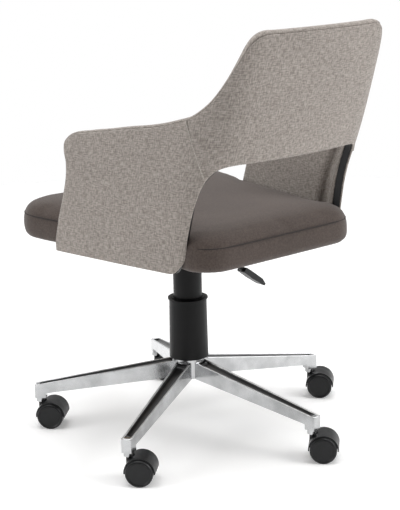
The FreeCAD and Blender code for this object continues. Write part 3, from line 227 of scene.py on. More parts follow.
# Wheel nylon: the same resin, duller where it meets the floor.
wheel_nylon, tree, shader = new_material("rolled_wheel_nylon", Specular_IOR_Level=0.35)
texture = add(tree, "ShaderNodeTexCoord")
colour, cloud = mottle(tree, texture.outputs["Object"], 55.0, hex_colour("#090A0B"), hex_colour("#111214"))
height = add(tree, "ShaderNodeSeparateXYZ", {"Vector": texture.outputs["Object"]})
worn = add(tree, "ShaderNodeMapRange", {"Value": height.outputs["Z"], "From Min": 0.0, "From Max": 0.006,
                                        "To Min": 0.62, "To Max": 0.40})
grain = add(tree, "ShaderNodeTexNoise", {"Vector": texture.outputs["Object"], "Scale": 900.0, "Detail": 2.0})
bump = add(tree, "ShaderNodeBump", {"Height": grain.outputs["Fac"], "Strength": 0.10, "Distance": 0.0004})
tree.links.new(colour, shader.inputs["Base Color"])
tree.links.new(worn.outputs["Result"], shader.inputs["Roughness"])
tree.links.new(bump.outputs["Normal"], shader.inputs["Normal"])

# Zinc-plated steel: bright, a little yellow in the shade, finely scratched.
bright_steel, tree, shader = new_material("zinc_plated_steel", Metallic=1.0)
place = add(tree, "ShaderNodeTexCoord").outputs["Object"]
colour, cloud = mottle(tree, place, 120.0, hex_colour("#A8A9A6"), hex_colour("#C9CAC8"))
rough = add(tree, "ShaderNodeMapRange", {"Value": cloud, "To Min": 0.20, "To Max": 0.36})
scratch = add(tree, "ShaderNodeTexNoise", {"Vector": place, "Scale": 1500.0, "Detail": 1.0})
bump = add(tree, "ShaderNodeBump", {"Height": scratch.outputs["Fac"], "Strength": 0.05, "Distance": 0.0003})
tree.links.new(colour, shader.inputs["Base Color"])
tree.links.new(rough.outputs["Result"], shader.inputs["Roughness"])
tree.links.new(bump.outputs["Normal"], shader.inputs["Normal"])

for caster in range(1, 6):
    give(caster_nylon, f"caster_{caster}_hood")
    give(wheel_nylon, f"caster_{caster}_wheel_left", f"caster_{caster}_wheel_right")
    give(bright_steel, f"caster_{caster}_stem", f"caster_{caster}_axle")

# ---------------------------------------------------------------- gas lift and its covers
# Steel standing tube with the pressure cylinder running in a plastic bush, hidden by three
# telescopic covers that stand on the hub; the ball race and rubber buffer carry the rod's foot.

give(bright_steel, "piston_rod", "bearing_race_lower", "bearing_race_upper", "bearing_balls", "retaining_clip")

# Black epoxy powder coat: slightly pebbled and semi-matt.
powder_coat, tree, shader = new_material("black_powder_coat", Roughness=0.42, Specular_IOR_Level=0.35)
place = add(tree, "ShaderNodeTexCoord").outputs["Object"]
colour, _ = mottle(tree, place, 90.0, hex_colour("#0B0B0C"), hex_colour("#131314"))
# orange peel cells about one and a half millimetres across
grain = add(tree, "ShaderNodeTexVoronoi", {"Vector": place, "Scale": 650.0})
bump = add(tree, "ShaderNodeBump", {"Height": grain.outputs["Distance"], "Strength": 0.12, "Distance": 0.0005})
tree.links.new(colour, shader.inputs["Base Color"])
tree.links.new(bump.outputs["Normal"], shader.inputs["Normal"])
give(powder_coat, "standing_tube", "pressure_cylinder", "release_pin")

# Moulded polypropylene covers: satin black with faint draw marks up their length.
cover_plastic, tree, shader = new_material("moulded_polypropylene", Specular_IOR_Level=0.2)
place = add(tree, "ShaderNodeTexCoord").outputs["Object"]
colour, cloud = mottle(tree, place, 40.0, hex_colour("#060607"), hex_colour("#0A0A0B"))
stretched = add(tree, "ShaderNodeMapping", {"Vector": place, "Scale": (900.0, 900.0, 30.0)})
draw_marks = add(tree, "ShaderNodeTexNoise", {"Vector": stretched.outputs["Vector"], "Scale": 1.0, "Detail": 2.0})
rough = add(tree, "ShaderNodeMapRange", {"Value": draw_marks.outputs["Fac"], "To Min": 0.34, "To Max": 0.50})
bump = add(tree, "ShaderNodeBump", {"Height": draw_marks.outputs["Fac"], "Strength": 0.05, "Distance": 0.0004})
tree.links.new(colour, shader.inputs["Base Color"])
tree.links.new(rough.outputs["Result"], shader.inputs["Roughness"])
tree.links.new(bump.outputs["Normal"], shader.inputs["Normal"])
give(cover_plastic, "lower_cover", "middle_cover", "upper_cover")

# Acetal bush: milky off-white, slippery and smooth.
acetal, tree, shader = new_material("acetal_bush", Roughness=0.35, IOR=1.48)
place = add(tree, "ShaderNodeTexCoord").outputs["Object"]
colour, _ = mottle(tree, place, 80.0, hex_colour("#D9D6CC"), hex_colour("#E6E4DC"))
tree.links.new(colour, shader.inputs["Base Color"])
give(acetal, "guide_bush")

# Nitrile rubber: near-black and matt.
rubber, tree, shader = new_material("moulded_rubber", Roughness=0.82, IOR=1.52)
place = add(tree, "ShaderNodeTexCoord").outputs["Object"]
colour, cloud = mottle(tree, place, 200.0, hex_colour("#161616"), hex_colour("#232322"))
bump = add(tree, "ShaderNodeBump", {"Height": cloud, "Strength": 0.15, "Distance": 0.0005})
tree.links.new(colour, shader.inputs["Base Color"])
tree.links.new(bump.outputs["Normal"], shader.inputs["Normal"])
give(rubber, "rubber_buffer")

# ---------------------------------------------------------------- seat plate, bars and bolts
# Pressed steel plate on the cylinder's cone and two flat steel bars out to the arms, all powder
# coated, bolted up into tee nuts in the plywood board.

give(powder_coat, "seat_plate", "cross_bars")
give(bright_steel, "plate_bolts", "plate_tee_nuts", "arm_bolts", "arm_tee_nuts", "lever_pivot_pin")

# Stained birch plywood: grey-brown, with darker glue lines at the edge and long grain on the face.
plywood, tree, shader = new_material("stained_birch_plywood", Roughness=0.62)
place = add(tree, "ShaderNodeTexCoord").outputs["Object"]
long_grain = add(tree, "ShaderNodeMapping", {"Vector": place, "Scale": (220.0, 14.0, 60.0)})
grain_colour, grain = mottle(tree, long_grain.outputs["Vector"], 1.0, hex_colour("#6B5E4C"),
                             hex_colour("#857762"), detail=5.0)
# plies 1.5 mm thick
plies = add(tree, "ShaderNodeTexWave", {"Vector": place, "Scale": 105.0}, bands_direction="Z")
ply_line = add(tree, "ShaderNodeMapRange", {"Value": plies.outputs["Fac"], "From Min": 0.0, "From Max": 0.25,
                                            "To Min": 0.55, "To Max": 1.0})
edge_tone = add(tree, "ShaderNodeMix", {0: ply_line.outputs["Result"], 6: hex_colour("#4E4335"), 7: grain_colour},
                data_type="RGBA")
bump = add(tree, "ShaderNodeBump", {"Height": grain, "Strength": 0.12, "Distance": 0.0005})
tree.links.new(edge_tone.outputs[2], shader.inputs["Base Color"])
tree.links.new(bump.outputs["Normal"], shader.inputs["Normal"])
give(plywood, "seat_board")

# ---------------------------------------------------------------- height lever
# Steel rod pivoted under the plate with a moulded black paddle pressed on its end.

give(powder_coat, "lever_rod")
give(caster_nylon, "lever_handle")

# ---------------------------------------------------------------- shell
# One moulded wall runs round the back and forward along both arms, with an open window behind
# the sitter. Its black edge shows round the window between the two layers of upholstery.

# Moulded shell plastic: black, low sheen.
shell_plastic, tree, shader = new_material("moulded_shell_plastic", Roughness=0.5, Specular_IOR_Level=0.3)
place = add(tree, "ShaderNodeTexCoord").outputs["Object"]
colour, cloud = mottle(tree, place, 60.0, hex_colour("#08080A"), hex_colour("#0F1011"))
grain = add(tree, "ShaderNodeTexNoise", {"Vector": place, "Scale": 800.0, "Detail": 2.0})
bump = add(tree, "ShaderNodeBump", {"Height": grain.outputs["Fac"], "Strength": 0.12, "Distance": 0.0004})
tree.links.new(colour, shader.inputs["Base Color"])
tree.links.new(bump.outputs["Normal"], shader.inputs["Normal"])
give(shell_plastic, "shell_core")

CORNER_X, CORNER, BOW, SPLAY = 0.115, 0.085, 0.900, math.radians(8.9)
SHELL_LOW, WINDOW_TOP, SHELL_TOP = 0.379, 0.571, 0.792
ARM_FRONT, ARM_FRONT_TOP, ARM_REAR_TOP = -0.086, 0.588, 0.650
# heights of the wall's bends, and how far back the corner's centre is at each
LEAN = ((0.379, 0.171), (0.507, 0.186), (0.600, 0.219), (0.792, 0.280))
LEAN_EASE = (-0.03, -0.02, -0.01, 0.0, 0.01, 0.02, 0.03)


def lean_at(height):
    """How far the corner's centre lies behind the column, the bends eased over a hand's width."""
    total = 0.0
    for ease in LEAN_EASE:
        z = height + ease
        step = 0
        while step < len(LEAN) - 2 and z > LEAN[step + 1][0]:
            step += 1
        (low, near), (high, far) = LEAN[step], LEAN[step + 1]
        total += near + (z - low) / (high - low) * (far - near)
    return total / len(LEAN_EASE)


TURN = math.asin(CORNER_X / (BOW - CORNER))
BOW_LENGTH = BOW * TURN
CORNER_LENGTH = CORNER * (math.pi / 2 - SPLAY - TURN)


def wall_spot(across, height, depth):
    """Point of the wall: across runs round it from the middle of the back, depth goes inwards."""
    side = 1 if across >= 0 else -1
    run = abs(across)
    centre_y = lean_at(height)
    if run < BOW_LENGTH:
        angle = run / BOW
        bow_y = centre_y - math.sqrt((BOW - CORNER) ** 2 - CORNER_X ** 2)
        x, y = BOW * math.sin(angle), bow_y + BOW * math.cos(angle)
    else:
        angle = min(TURN + (run - BOW_LENGTH) / CORNER, math.pi / 2 - SPLAY)
        beyond = max(run - BOW_LENGTH - CORNER_LENGTH, 0.0)
        x = CORNER_X + CORNER * math.sin(angle) + beyond * math.sin(SPLAY)
        y = centre_y + CORNER * math.cos(angle) - beyond * math.cos(SPLAY)
    return Vector((side * (x - depth * math.sin(angle)), y - depth * math.cos(angle), height))


def on_arm(y, height):
    """Distance round the wall of a place on the arm."""
    tangent_y = lean_at(height) + CORNER * math.sin(SPLAY)
    return BOW_LENGTH + CORNER_LENGTH + (tangent_y - y) / math.cos(SPLAY)


def on_corner(degrees):
    """Distance round the wall of a place on the corner, from its angle off straight back."""
    return BOW_LENGTH + CORNER * (math.radians(degrees) - TURN)


EASED_STEPS = 12


def eased_line(points):
    """Close-set points on a smooth curve through some points, and where each of those fell."""
    spots = [Vector(p) for p in points]
    gaps = [(b - a).length for a, b in zip(spots, spots[1:])]
    runs = [(b - a) / g for a, b, g in zip(spots, spots[1:], gaps)]
    slopes = [runs[0]]
    slopes += [(runs[i] * gaps[i + 1] + runs[i + 1] * gaps[i]) / (gaps[i] + gaps[i + 1])
               for i in range(len(runs) - 1)]
    # the line ends level, at the middle of the back
    slopes.append(Vector((-1.0, 0.0)))
    dense, marks = [], []
    for i, gap in enumerate(gaps):
        marks.append(len(dense))
        for step in range(EASED_STEPS):
            t = step / EASED_STEPS
            spot = spots[i] * (1 - 3 * t * t + 2 * t ** 3) + spots[i + 1] * (3 * t * t - 2 * t ** 3)
            spot += (slopes[i] * (t - 2 * t * t + t ** 3) + slopes[i + 1] * (t ** 3 - t * t)) * gap
            dense.append(tuple(spot))
    marks.append(len(dense))
    dense.append(tuple(spots[-1]))
    return dense, marks


def even_points(dense, first, last, count):
    """Points at equal distances along part of a dense line."""
    part = dense[first:last + 1]
    lengths = [0.0]
    for a, b in zip(part, part[1:]):
        lengths.append(lengths[-1] + math.dist(a, b))
    spots, at = [], 0
    for n in range(count):
        wanted = lengths[-1] * n / count
        while lengths[at + 1] < wanted:
            at += 1
        share = (wanted - lengths[at]) / (lengths[at + 1] - lengths[at])
        spots.append(tuple(a + (b - a) * share for a, b in zip(part[at], part[at + 1])))
    return spots


# Up the arm's front and along its top: distances behind and above its front foot.
ARM_OUTLINE = ((0.0004, 0.0), (0.0, 0.012), (0.005, 0.037), (0.013, 0.063), (0.028, 0.108), (0.037, 0.140),
               (0.040, 0.165), (0.038, 0.190), (0.041, 0.203), (0.051, 0.213), (0.104, 0.2282), (0.143, 0.2344),
               (0.199, 0.2440), (0.236, 0.2493), (0.272, 0.2561), (0.307, 0.2651))
# Up the corner from the arm's rear to the top edge: degrees off straight back, share of the climb.
CLIMB = ((81.0, 0.02), (74.0, 0.065), (59.8, 0.20), (51.2, 0.335), (44.5, 0.47), (38.8, 0.605),
         (33.5, 0.735), (28.2, 0.857), (23.5, 0.925), (17.0, 0.975), (8.1, 1.0))
# Up the window's side from the wall's foot: degrees off straight back, share of the height.
WINDOW = ((61.5, 0.1), (57.9, 0.33), (55.0, 0.50), (51.5, 0.655), (48.0, 0.79), (41.9, 0.905),
          (37.5, 0.945), (31.5, 0.975), (25.0, 0.99), (15.0, 1.0))
# Along the level top of either, to the middle of the back.
LEVEL_RUN = (0.105, 0.080, 0.054, 0.027, 0.0)
# Places across from each other on the upper edge and the window, counted back from the middle:
# the arm's front top corner, its rear end, the top's corner and the middle; and the rows to each.
ACROSS = ((-23, -12), (-17, -10), (-8, -7), (-1, -1))
ROWS = (56, 62, 40, 34)


def wall_rows(arm_foot, window_foot):
    """Pairs of matching places on the upper edge and the window edge, right round the wall."""
    upper = [(on_arm(ARM_FRONT + y, SHELL_LOW + z), SHELL_LOW + z) for y, z in arm_foot]
    upper += [(on_corner(a), ARM_REAR_TOP + (SHELL_TOP - ARM_REAR_TOP) * s) for a, s in CLIMB]
    upper += [(across, SHELL_TOP) for across in LEVEL_RUN]
    window = [(on_corner(a), SHELL_LOW + (WINDOW_TOP - SHELL_LOW) * s) for a, s in window_foot]
    window += [(across, WINDOW_TOP) for across in LEVEL_RUN]
    upper_line, upper_marks = eased_line(upper)
    window_line, window_marks = eased_line(window)
    half, start = [], (0, 0)
    for end, count in zip(ACROSS, ROWS):
        half += list(zip(even_points(upper_line, upper_marks[start[0]], upper_marks[end[0]], count),
                         even_points(window_line, window_marks[start[1]], window_marks[end[1]], count)))
        start = end
    half.append((upper[-1], window[-1]))
    mirrored = [((-u[0], u[1]), (-w[0], w[1])) for u, w in reversed(half[:-1])]
    return half + mirrored


def wall_layer(name, rows, section, material):
    """A closed layer of upholstery: section gives (distance in from the upper edge, depth) places.

    For each row, section is given the wall's width and the height of its window end. The row goes
    once round its section; the UV map is the cloth's own flat size.
    """
    loops = []
    for upper, window in rows:
        width = math.dist(upper, window)
        reach = ((window[0] - upper[0]) / width, (window[1] - upper[1]) / width)
        places, cloth, travelled, last = [], [], 0.0, None
        for inset, depth in section(width, window[1]):
            spot = (upper[0] + reach[0] * inset, upper[1] + reach[1] * inset)
            places.append(wall_spot(spot[0], spot[1], depth))
            if last is not None:
                travelled += math.dist((inset, depth), last)
            last = (inset, depth)
            cloth.append((upper[0] + reach[0] * travelled, upper[1] + reach[1] * travelled))
        loops.append((places, cloth))
    around, length = len(loops[0][0]), len(loops)
    shape = bmesh.new()
    bmesh.ops.create_grid(shape, x_segments=length - 1, y_segments=around, size=0.5)
    weave = shape.loops.layers.uv.new("weave")
    spots, marks = {}, {}
    for vert in shape.verts:
        row = round((vert.co.x + 0.5) * (length - 1))
        step = round((vert.co.y + 0.5) * around)
        places, cloth = loops[row]
        spots[vert] = places[step % around]
        marks[vert] = cloth[min(step, around - 1)]
    for face in shape.faces:
        for corner in face.loops:
            corner[weave].uv = marks[corner.vert]
    for vert in shape.verts:
        vert.co = spots[vert]
    bmesh.ops.remove_doubles(shape, verts=shape.verts[:], dist=1e-6)
    bmesh.ops.holes_fill(shape, edges=[e for e in shape.edges if e.is_boundary], sides=0)
    bmesh.ops.recalc_face_normals(shape, faces=shape.faces[:])
    return finished(name, shape, material, "seat")


# metres from band to band of a wave texture whose scale is 1
WAVE_REPEAT = 0.314


def cloth_material(name, dark, light, thread, slub, sheen, rough):
    """Plain weave on the cloth's own UV map: crossed threads, uneven slubs and a soft sheen."""
    made, tree, shader = new_material(name, Roughness=rough, Sheen_Weight=sheen, Sheen_Roughness=0.5,
                                      Specular_IOR_Level=0.25)
    flat = add(tree, "ShaderNodeTexCoord").outputs["UV"]
    threads = [add(tree, "ShaderNodeTexWave", {"Vector": flat, "Scale": WAVE_REPEAT / thread, "Distortion": 1.2,
                                               "Detail": 2.0, "Detail Scale": 0.6}, bands_direction=direction)
               for direction in ("X", "Y")]
    crossed = add(tree, "ShaderNodeMath", {0: threads[0].outputs["Fac"], 1: threads[1].outputs["Fac"]},
                  operation="ADD")
    streaks = []
    for scale in ((1 / slub, 0.22 / slub, 1.0), (0.22 / slub, 1 / slub, 1.0)):
        drawn = add(tree, "ShaderNodeMapping", {"Vector": flat, "Scale": scale})
        noise = add(tree, "ShaderNodeTexNoise", {"Vector": drawn.outputs["Vector"], "Scale": 1.0, "Detail": 2.5})
        streaks.append(noise.outputs["Fac"])
    slubs = add(tree, "ShaderNodeMath", {0: streaks[0], 1: streaks[1]}, operation="ADD")
    heather = add(tree, "ShaderNodeMapRange", {"Value": slubs.outputs[0], "From Min": 0.80, "From Max": 1.20})
    dye = add(tree, "ShaderNodeTexNoise", {"Vector": flat, "Scale": 16.0, "Detail": 2.0})
    base = add(tree, "ShaderNodeMix", {0: heather.outputs["Result"], 6: hex_colour(dark), 7: hex_colour(light)},
               data_type="RGBA")
    shade = add(tree, "ShaderNodeMapRange", {"Value": crossed.outputs[0], "From Min": 0.2, "From Max": 1.8,
                                             "To Min": 0.88, "To Max": 1.04})
    drift = add(tree, "ShaderNodeMapRange", {"Value": dye.outputs["Fac"], "From Min": 0.3, "From Max": 0.7,
                                             "To Min": 0.96, "To Max": 1.04})
    both = add(tree, "ShaderNodeMath", {0: shade.outputs["Result"], 1: drift.outputs["Result"]},
               operation="MULTIPLY")
    final = add(tree, "ShaderNodeVectorMath", {0: base.outputs[2], "Scale": both.outputs[0]}, operation="SCALE")
    relief = add(tree, "ShaderNodeMath", {0: crossed.outputs[0], 1: heather.outputs["Result"]}, operation="ADD")
    bump = add(tree, "ShaderNodeBump", {"Height": relief.outputs[0], "Strength": 0.35, "Distance": 0.0006})
    tree.links.new(final.outputs[0], shader.inputs["Base Color"])
    tree.links.new(bump.outputs["Normal"], shader.inputs["Normal"])
    return made


# Heathered wool-look polyester: grey-beige threads of uneven tone, matt with a faint bloom. The
# threads are 1.2 mm apart; they are drawn 2.6 mm apart, which is as fine as shows.
shell_cloth = cloth_material("heathered_polyester_weave", "#7F7872", "#A8A099", 0.0026, 0.0021, 0.15, 0.9)

# Forward along the wall's foot from the window to the arm, before the window's side.
FOOT = ((76.0, 0.0), (71.5, 0.012), (68.2, 0.035), (64.6, 0.068))
# depths through the wall, from the core's outer face
COVER_THICK, CORE_FACE, PAD_BACK, PAD_FACE = 0.0040, 0.0043, 0.0166, 0.0306
COVER_FACE, COVER_CROWN = -0.0006, 0.0012
# rolled upper edge, from the back of the cloth to its face: distances in, depths
COVER_ROLL = ((0.0058, COVER_THICK), (0.0037, 0.0038), (0.0028, 0.0026), (0.0030, 0.0014), (0.0041, 0.0004),
              (0.0066, -0.0002), (0.0104, COVER_FACE))
# hem at the window, from the face to the back: distances back from the end, depths
COVER_HEM = ((0.010, COVER_FACE), (0.0040, -0.0002), (0.0014, 0.0004), (0.0003, 0.0014), (0.0001, 0.0026),
             (0.0008, 0.0038), (0.0030, COVER_THICK))


def cover_section(width, _window_height):
    """Thin padded cover: flat back on the core, softly crowned face, rolled edges."""
    face = list(COVER_ROLL)
    for step in range(1, 12):
        share = step / 12
        face.append((0.010 + share * (width - 0.020), COVER_FACE - COVER_CROWN * math.sin(math.pi * share)))
    face += [(width - back, depth) for back, depth in COVER_HEM]
    return face + [(width * (1 - step / 6), COVER_THICK) for step in range(1, 6)]


outer_cover = wall_layer("shell_outer_cover", wall_rows(ARM_OUTLINE, FOOT + WINDOW),
                         cover_section, shell_cloth)
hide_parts("outer_cover")

# ---------------------------------------------------------------- inner pad
# Foam pad in the same cloth: it rolls over the shell's top edge and, on the arms, steps down to a
# thin facing behind a sewn seam before it reaches the window.

FACING, STEP_BACK, PAD_CROWN = 0.0020, 0.042, 0.0030
# the step fades out over this share of the wall's height, and where the wall is narrower than this
FADE_SHARE, FULL_WIDTH = 0.12, 0.12
PAD_LIP, PAD_TAIL, CROWN_START, CROWN_END = 0.0077, 0.003, 0.018, 0.016
# roll over the upper edge, from behind the core's lip to the pad's face: distances in, depths
PAD_ROLL = ((PAD_LIP, PAD_BACK), (PAD_LIP, CORE_FACE + 0.001), (0.0040, CORE_FACE - 0.0006), (0.0012, 0.0034),
            (-0.0012, 0.0046), (-0.0030, 0.0085), (-0.0037, 0.0130), (-0.0032, 0.0180), (-0.0010, 0.0232),
            (0.0034, 0.0276), (0.0095, 0.0302))
# rounded end of the thick part: distances back from it, depths
PAD_SHOULDER = ((0.0090, 0.0300), (0.0040, 0.0278), (0.0012, 0.0245), (0.0, 0.0210))


def pad_section(width, window_height):
    """Thick pad from the roll over the upper edge to the window, thinned behind the arm's seam."""
    share = (window_height - SHELL_LOW) / (WINDOW_TOP - SHELL_LOW)
    on_the_arm = min(max((1.0 - share) / FADE_SHARE, 0.0), 1.0) * min(1.0, width / FULL_WIDTH)
    strip = STEP_BACK * on_the_arm
    thick_end = width - PAD_TAIL - strip
    tail = width - PAD_TAIL
    facing = PAD_BACK + FACING
    face = list(PAD_ROLL)
    for step in range(11):
        part = step / 10
        inset = CROWN_START + part * (thick_end - CROWN_END - CROWN_START)
        face.append((inset, PAD_FACE + PAD_CROWN * math.sin(math.pi * part) ** 0.7))
    face += [(thick_end - back, depth) for back, depth in PAD_SHOULDER]
    face += [(thick_end + 0.0008 * on_the_arm, facing + 0.0002), (thick_end + strip * 0.5, facing),
             (tail - 0.0006, facing - 0.0003), (tail, PAD_BACK + 0.0008), (tail - 0.0006, PAD_BACK)]
    return face + [(PAD_LIP + (tail - PAD_LIP) * (1 - step / 6), PAD_BACK) for step in range(1, 6)]


PAD_ARM = ((0.0095, 0.052),) + ARM_OUTLINE[3:]
PAD_FOOT = ((58.8, 0.27), (57.9, 0.33))
inner_pad = wall_layer("shell_inner_pad", wall_rows(PAD_ARM, PAD_FOOT + WINDOW[2:]),
                       pad_section, shell_cloth)
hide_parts("inner_pad")

# ---------------------------------------------------------------- seat cushion
# Foam on the plywood board in a brown-grey woven cover: a top panel and a border joined by a
# corded seam, tucked between the arms and open below for the board.

SEAT_LOW, SEAT_SEAM, SEAT_CROWN = 0.384, 0.428, 0.452
SEAT_FRONT, SEAT_BACK, SEAT_FRONT_HALF, SEAT_BACK_HALF = -0.2345, 0.2715, 0.2468, 0.1825
FRONT_CORNER, BACK_CORNER = 0.064, 0.057
BOARD_EDGE, BOARD_TOP = 0.0225, 0.3990
CORNER_STEPS, SIDE_STEPS = 12, 16
# where the arms hold the sides in, and how deep in the wall
HELD_FROM, HELD_TO, HELD_DEPTH = -0.095, 0.212, CORE_FACE + 0.0130


def seat_outline(inset, height):
    """Places round the cushion at an inset: round corners, sides held in between the arms."""
    places = []
    front, back = SEAT_FRONT + inset, SEAT_BACK - inset
    lean = math.atan2(SEAT_FRONT_HALF - SEAT_BACK_HALF, SEAT_BACK - SEAT_FRONT)
    for corner_x, corner_y, radius, start, end in (
            (SEAT_FRONT_HALF - inset, front, max(FRONT_CORNER - 0.3 * inset, 0.020), -90.0, math.degrees(lean)),
            (SEAT_BACK_HALF - inset, back, max(BACK_CORNER - 0.3 * inset, 0.020), math.degrees(lean), 90.0)):
        sign = -1 if corner_y < 0 else 1
        centre_y = corner_y - sign * radius
        centre_x = corner_x - radius * math.tan(math.pi / 4 - sign * lean / 2)
        for step in range(CORNER_STEPS + 1):
            angle = math.radians(start + (end - start) * step / CORNER_STEPS)
            places.append((centre_x + radius * math.cos(angle), centre_y + radius * math.sin(angle)))
        if sign < 0:
            a = places[-1]
            target_y = back - radius
            for step in range(1, SIDE_STEPS):
                y = a[1] + (target_y - a[1]) * step / SIDE_STEPS
                places.append((a[0] - (y - a[1]) * math.tan(lean), y))
    held = []
    for x, y in places:
        if HELD_FROM < y < HELD_TO:
            beyond = y - lean_at(height)
            if beyond < (CORNER - HELD_DEPTH) * math.sin(SPLAY):
                wall = wall_spot(on_arm(y, height), height, HELD_DEPTH).x
            else:
                wall = CORNER_X + math.sqrt((CORNER - HELD_DEPTH) ** 2 - beyond ** 2)
            ease = min(1.0, (y - HELD_FROM) / 0.03, (HELD_TO - y) / 0.010)
            x = x + (min(x, wall - inset) - x) * ease
        held.append((x, y))
    return held + [(-x, y) for x, y in reversed(held)]


# Heights and insets of the cushion's rings.
UNDER_RINGS = ((BOARD_TOP, 0.120), (BOARD_TOP, BOARD_EDGE + 0.004), (BOARD_TOP - 0.004, BOARD_EDGE),
               (SEAT_LOW + 0.003, BOARD_EDGE), (SEAT_LOW, BOARD_EDGE - 0.003), (SEAT_LOW, 0.010))
BORDER_RINGS = ((SEAT_LOW + 0.003, 0.0045), (SEAT_LOW + 0.010, 0.0015), (SEAT_LOW + 0.022, 0.0005),
                (SEAT_LOW + 0.034, 0.0010), (SEAT_SEAM, 0.0030))
TOP_RINGS = ((SEAT_SEAM + 0.006, 0.0045), (SEAT_SEAM + 0.013, 0.012), (SEAT_SEAM + 0.018, 0.026),
             (SEAT_SEAM + 0.0215, 0.050), (SEAT_CROWN, 0.085), (SEAT_CROWN + 0.001, 0.125),
             (SEAT_CROWN + 0.001, 0.165))
# above this height the cushion is clear of the arms' pad
HOLD_TOP = 0.44

rings = [[(x, y, height) for x, y in seat_outline(inset, min(height, HOLD_TOP))]
         for height, inset in UNDER_RINGS + BORDER_RINGS + TOP_RINGS]
around = len(rings[0])
shape = bmesh.new()
bmesh.ops.create_grid(shape, x_segments=len(rings) - 1, y_segments=around, size=0.5)
for vert in shape.verts:
    ring = rings[round((vert.co.x + 0.5) * (len(rings) - 1))]
    vert.co = ring[round((vert.co.y + 0.5) * around) % around]
bmesh.ops.remove_doubles(shape, verts=shape.verts[:], dist=1e-6)
bmesh.ops.holes_fill(shape, edges=[e for e in shape.edges if e.is_boundary], sides=0)
bmesh.ops.triangulate(shape, faces=[f for f in shape.faces if len(f.verts) > 4])
bmesh.ops.recalc_face_normals(shape, faces=shape.faces[:])

# Tight plain-weave cover: brown-grey with a slight two-tone fleck and a soft nap that catches light.
seat_cloth, tree, shader = new_material("brown_grey_seat_weave", Roughness=0.80, Sheen_Weight=0.18,
                                        Sheen_Roughness=0.45, Specular_IOR_Level=0.3)
place = add(tree, "ShaderNodeTexCoord").outputs["Object"]
# threads about 1 mm apart, drawn at 2 mm
warp = add(tree, "ShaderNodeTexWave", {"Vector": place, "Scale": 157.0, "Distortion": 1.5, "Detail": 2.0},
           bands_direction="X")
weft = add(tree, "ShaderNodeTexWave", {"Vector": place, "Scale": 157.0, "Distortion": 1.5, "Detail": 2.0},
           bands_direction="Y")
weave = add(tree, "ShaderNodeMath", {0: warp.outputs["Fac"], 1: weft.outputs["Fac"]}, operation="ADD")
colour, fleck = mottle(tree, place, 330.0, hex_colour("#413734"), hex_colour("#50463F"))
dye = add(tree, "ShaderNodeTexNoise", {"Vector": place, "Scale": 9.0, "Detail": 2.0})
drift = add(tree, "ShaderNodeMapRange", {"Value": dye.outputs["Fac"], "From Min": 0.3, "From Max": 0.7,
                                         "To Min": 0.93, "To Max": 1.07})
tinted = add(tree, "ShaderNodeVectorMath", {0: colour, "Scale": drift.outputs["Result"]}, operation="SCALE")
bump = add(tree, "ShaderNodeBump", {"Height": weave.outputs[0], "Strength": 0.16, "Distance": 0.0004})
tree.links.new(tinted.outputs[0], shader.inputs["Base Color"])
tree.links.new(bump.outputs["Normal"], shader.inputs["Normal"])

cushion = finished("seat_cushion_cover", shape, seat_cloth, "seat")


def apply_modifiers(piece):
    """Turns a piece's modifiers into its mesh, as they stand on this frame."""
    seen = piece.evaluated_get(bpy.context.evaluated_depsgraph_get())
    mesh = bpy.data.meshes.new_from_object(seen)
    piece.modifiers.clear()
    piece.data = mesh


SKIN_STEP, FILLING_PRESSURE, FILLING_FRAMES = 0.0055, 4.0, 20
# how far the filling may push the cloth out: underneath, on the border and on the top
UNDER_SWELL, BORDER_SWELL, TOP_SWELL = 0.0010, 0.0025, 0.0055

remesh = cushion.modifiers.new("even_skin", "REMESH")
remesh.mode = "VOXEL"
remesh.voxel_size = SKIN_STEP
apply_modifiers(cushion)

start = [v.co.copy() for v in cushion.data.vertices]
cloth = cushion.modifiers.new("filling", "CLOTH")
cloth.settings.use_pressure = True
cloth.settings.uniform_pressure_force = FILLING_PRESSURE
cloth.settings.effector_weights.gravity = 0.0
cloth.settings.quality = 5
cloth.settings.mass = 0.3
for step in range(1, FILLING_FRAMES + 1):
    bpy.context.scene.frame_set(step)
apply_modifiers(cushion)
bpy.context.scene.frame_set(1)
for vert, was in zip(cushion.data.vertices, start):
    moved = vert.co - was
    over_board = was.z < BOARD_TOP + 0.002 and abs(was.x) < 0.21 and was.z < SEAT_LOW + 0.018
    limit = BORDER_SWELL if was.z < SEAT_SEAM + 0.004 else TOP_SWELL
    if was.z < SEAT_LOW + 0.006 or over_board:
        limit = UNDER_SWELL
    if moved.length > limit:
        vert.co = was + moved * (limit / moved.length)
cushion.data.shade_smooth()
smoother = cushion.modifiers.new("taut_cloth", "SMOOTH")
smoother.factor = 0.5
smoother.iterations = 3
apply_modifiers(cushion)
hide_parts("seat_cushion")

# Corded seam: the cushion's own skin is cut at the seam's height and a thin cord follows it round.
SEAT_CORD, CORD_STAND = 0.0014, 0.0011
skin = bmesh.new()
skin.from_mesh(cushion.data)
cut = bmesh.ops.bisect_plane(skin, geom=skin.verts[:] + skin.edges[:] + skin.faces[:], dist=1e-6,
                             plane_co=(0, 0, SEAT_SEAM), plane_no=(0, 0, 1))
edges = {e for e in cut["geom_cut"] if isinstance(e, bmesh.types.BMEdge)}
path, edge = [], max(edges, key=lambda e: e.verts[0].co.y)
vert = edge.verts[0]
while edge:
    edges.discard(edge)
    path.append(vert.co.copy())
    vert = edge.other_vert(vert)
    edge = next((e for e in vert.link_edges if e in edges), None)
skin.free()
path = path[::4]
for turn in range(2):
    path = [(path[i - 1] + path[i] * 2 + path[(i + 1) % len(path)]) / 4 for i in range(len(path))]
middle = Vector((0.0, 0.0, SEAT_SEAM))
path = [spot + (spot - middle).normalized() * CORD_STAND for spot in path]
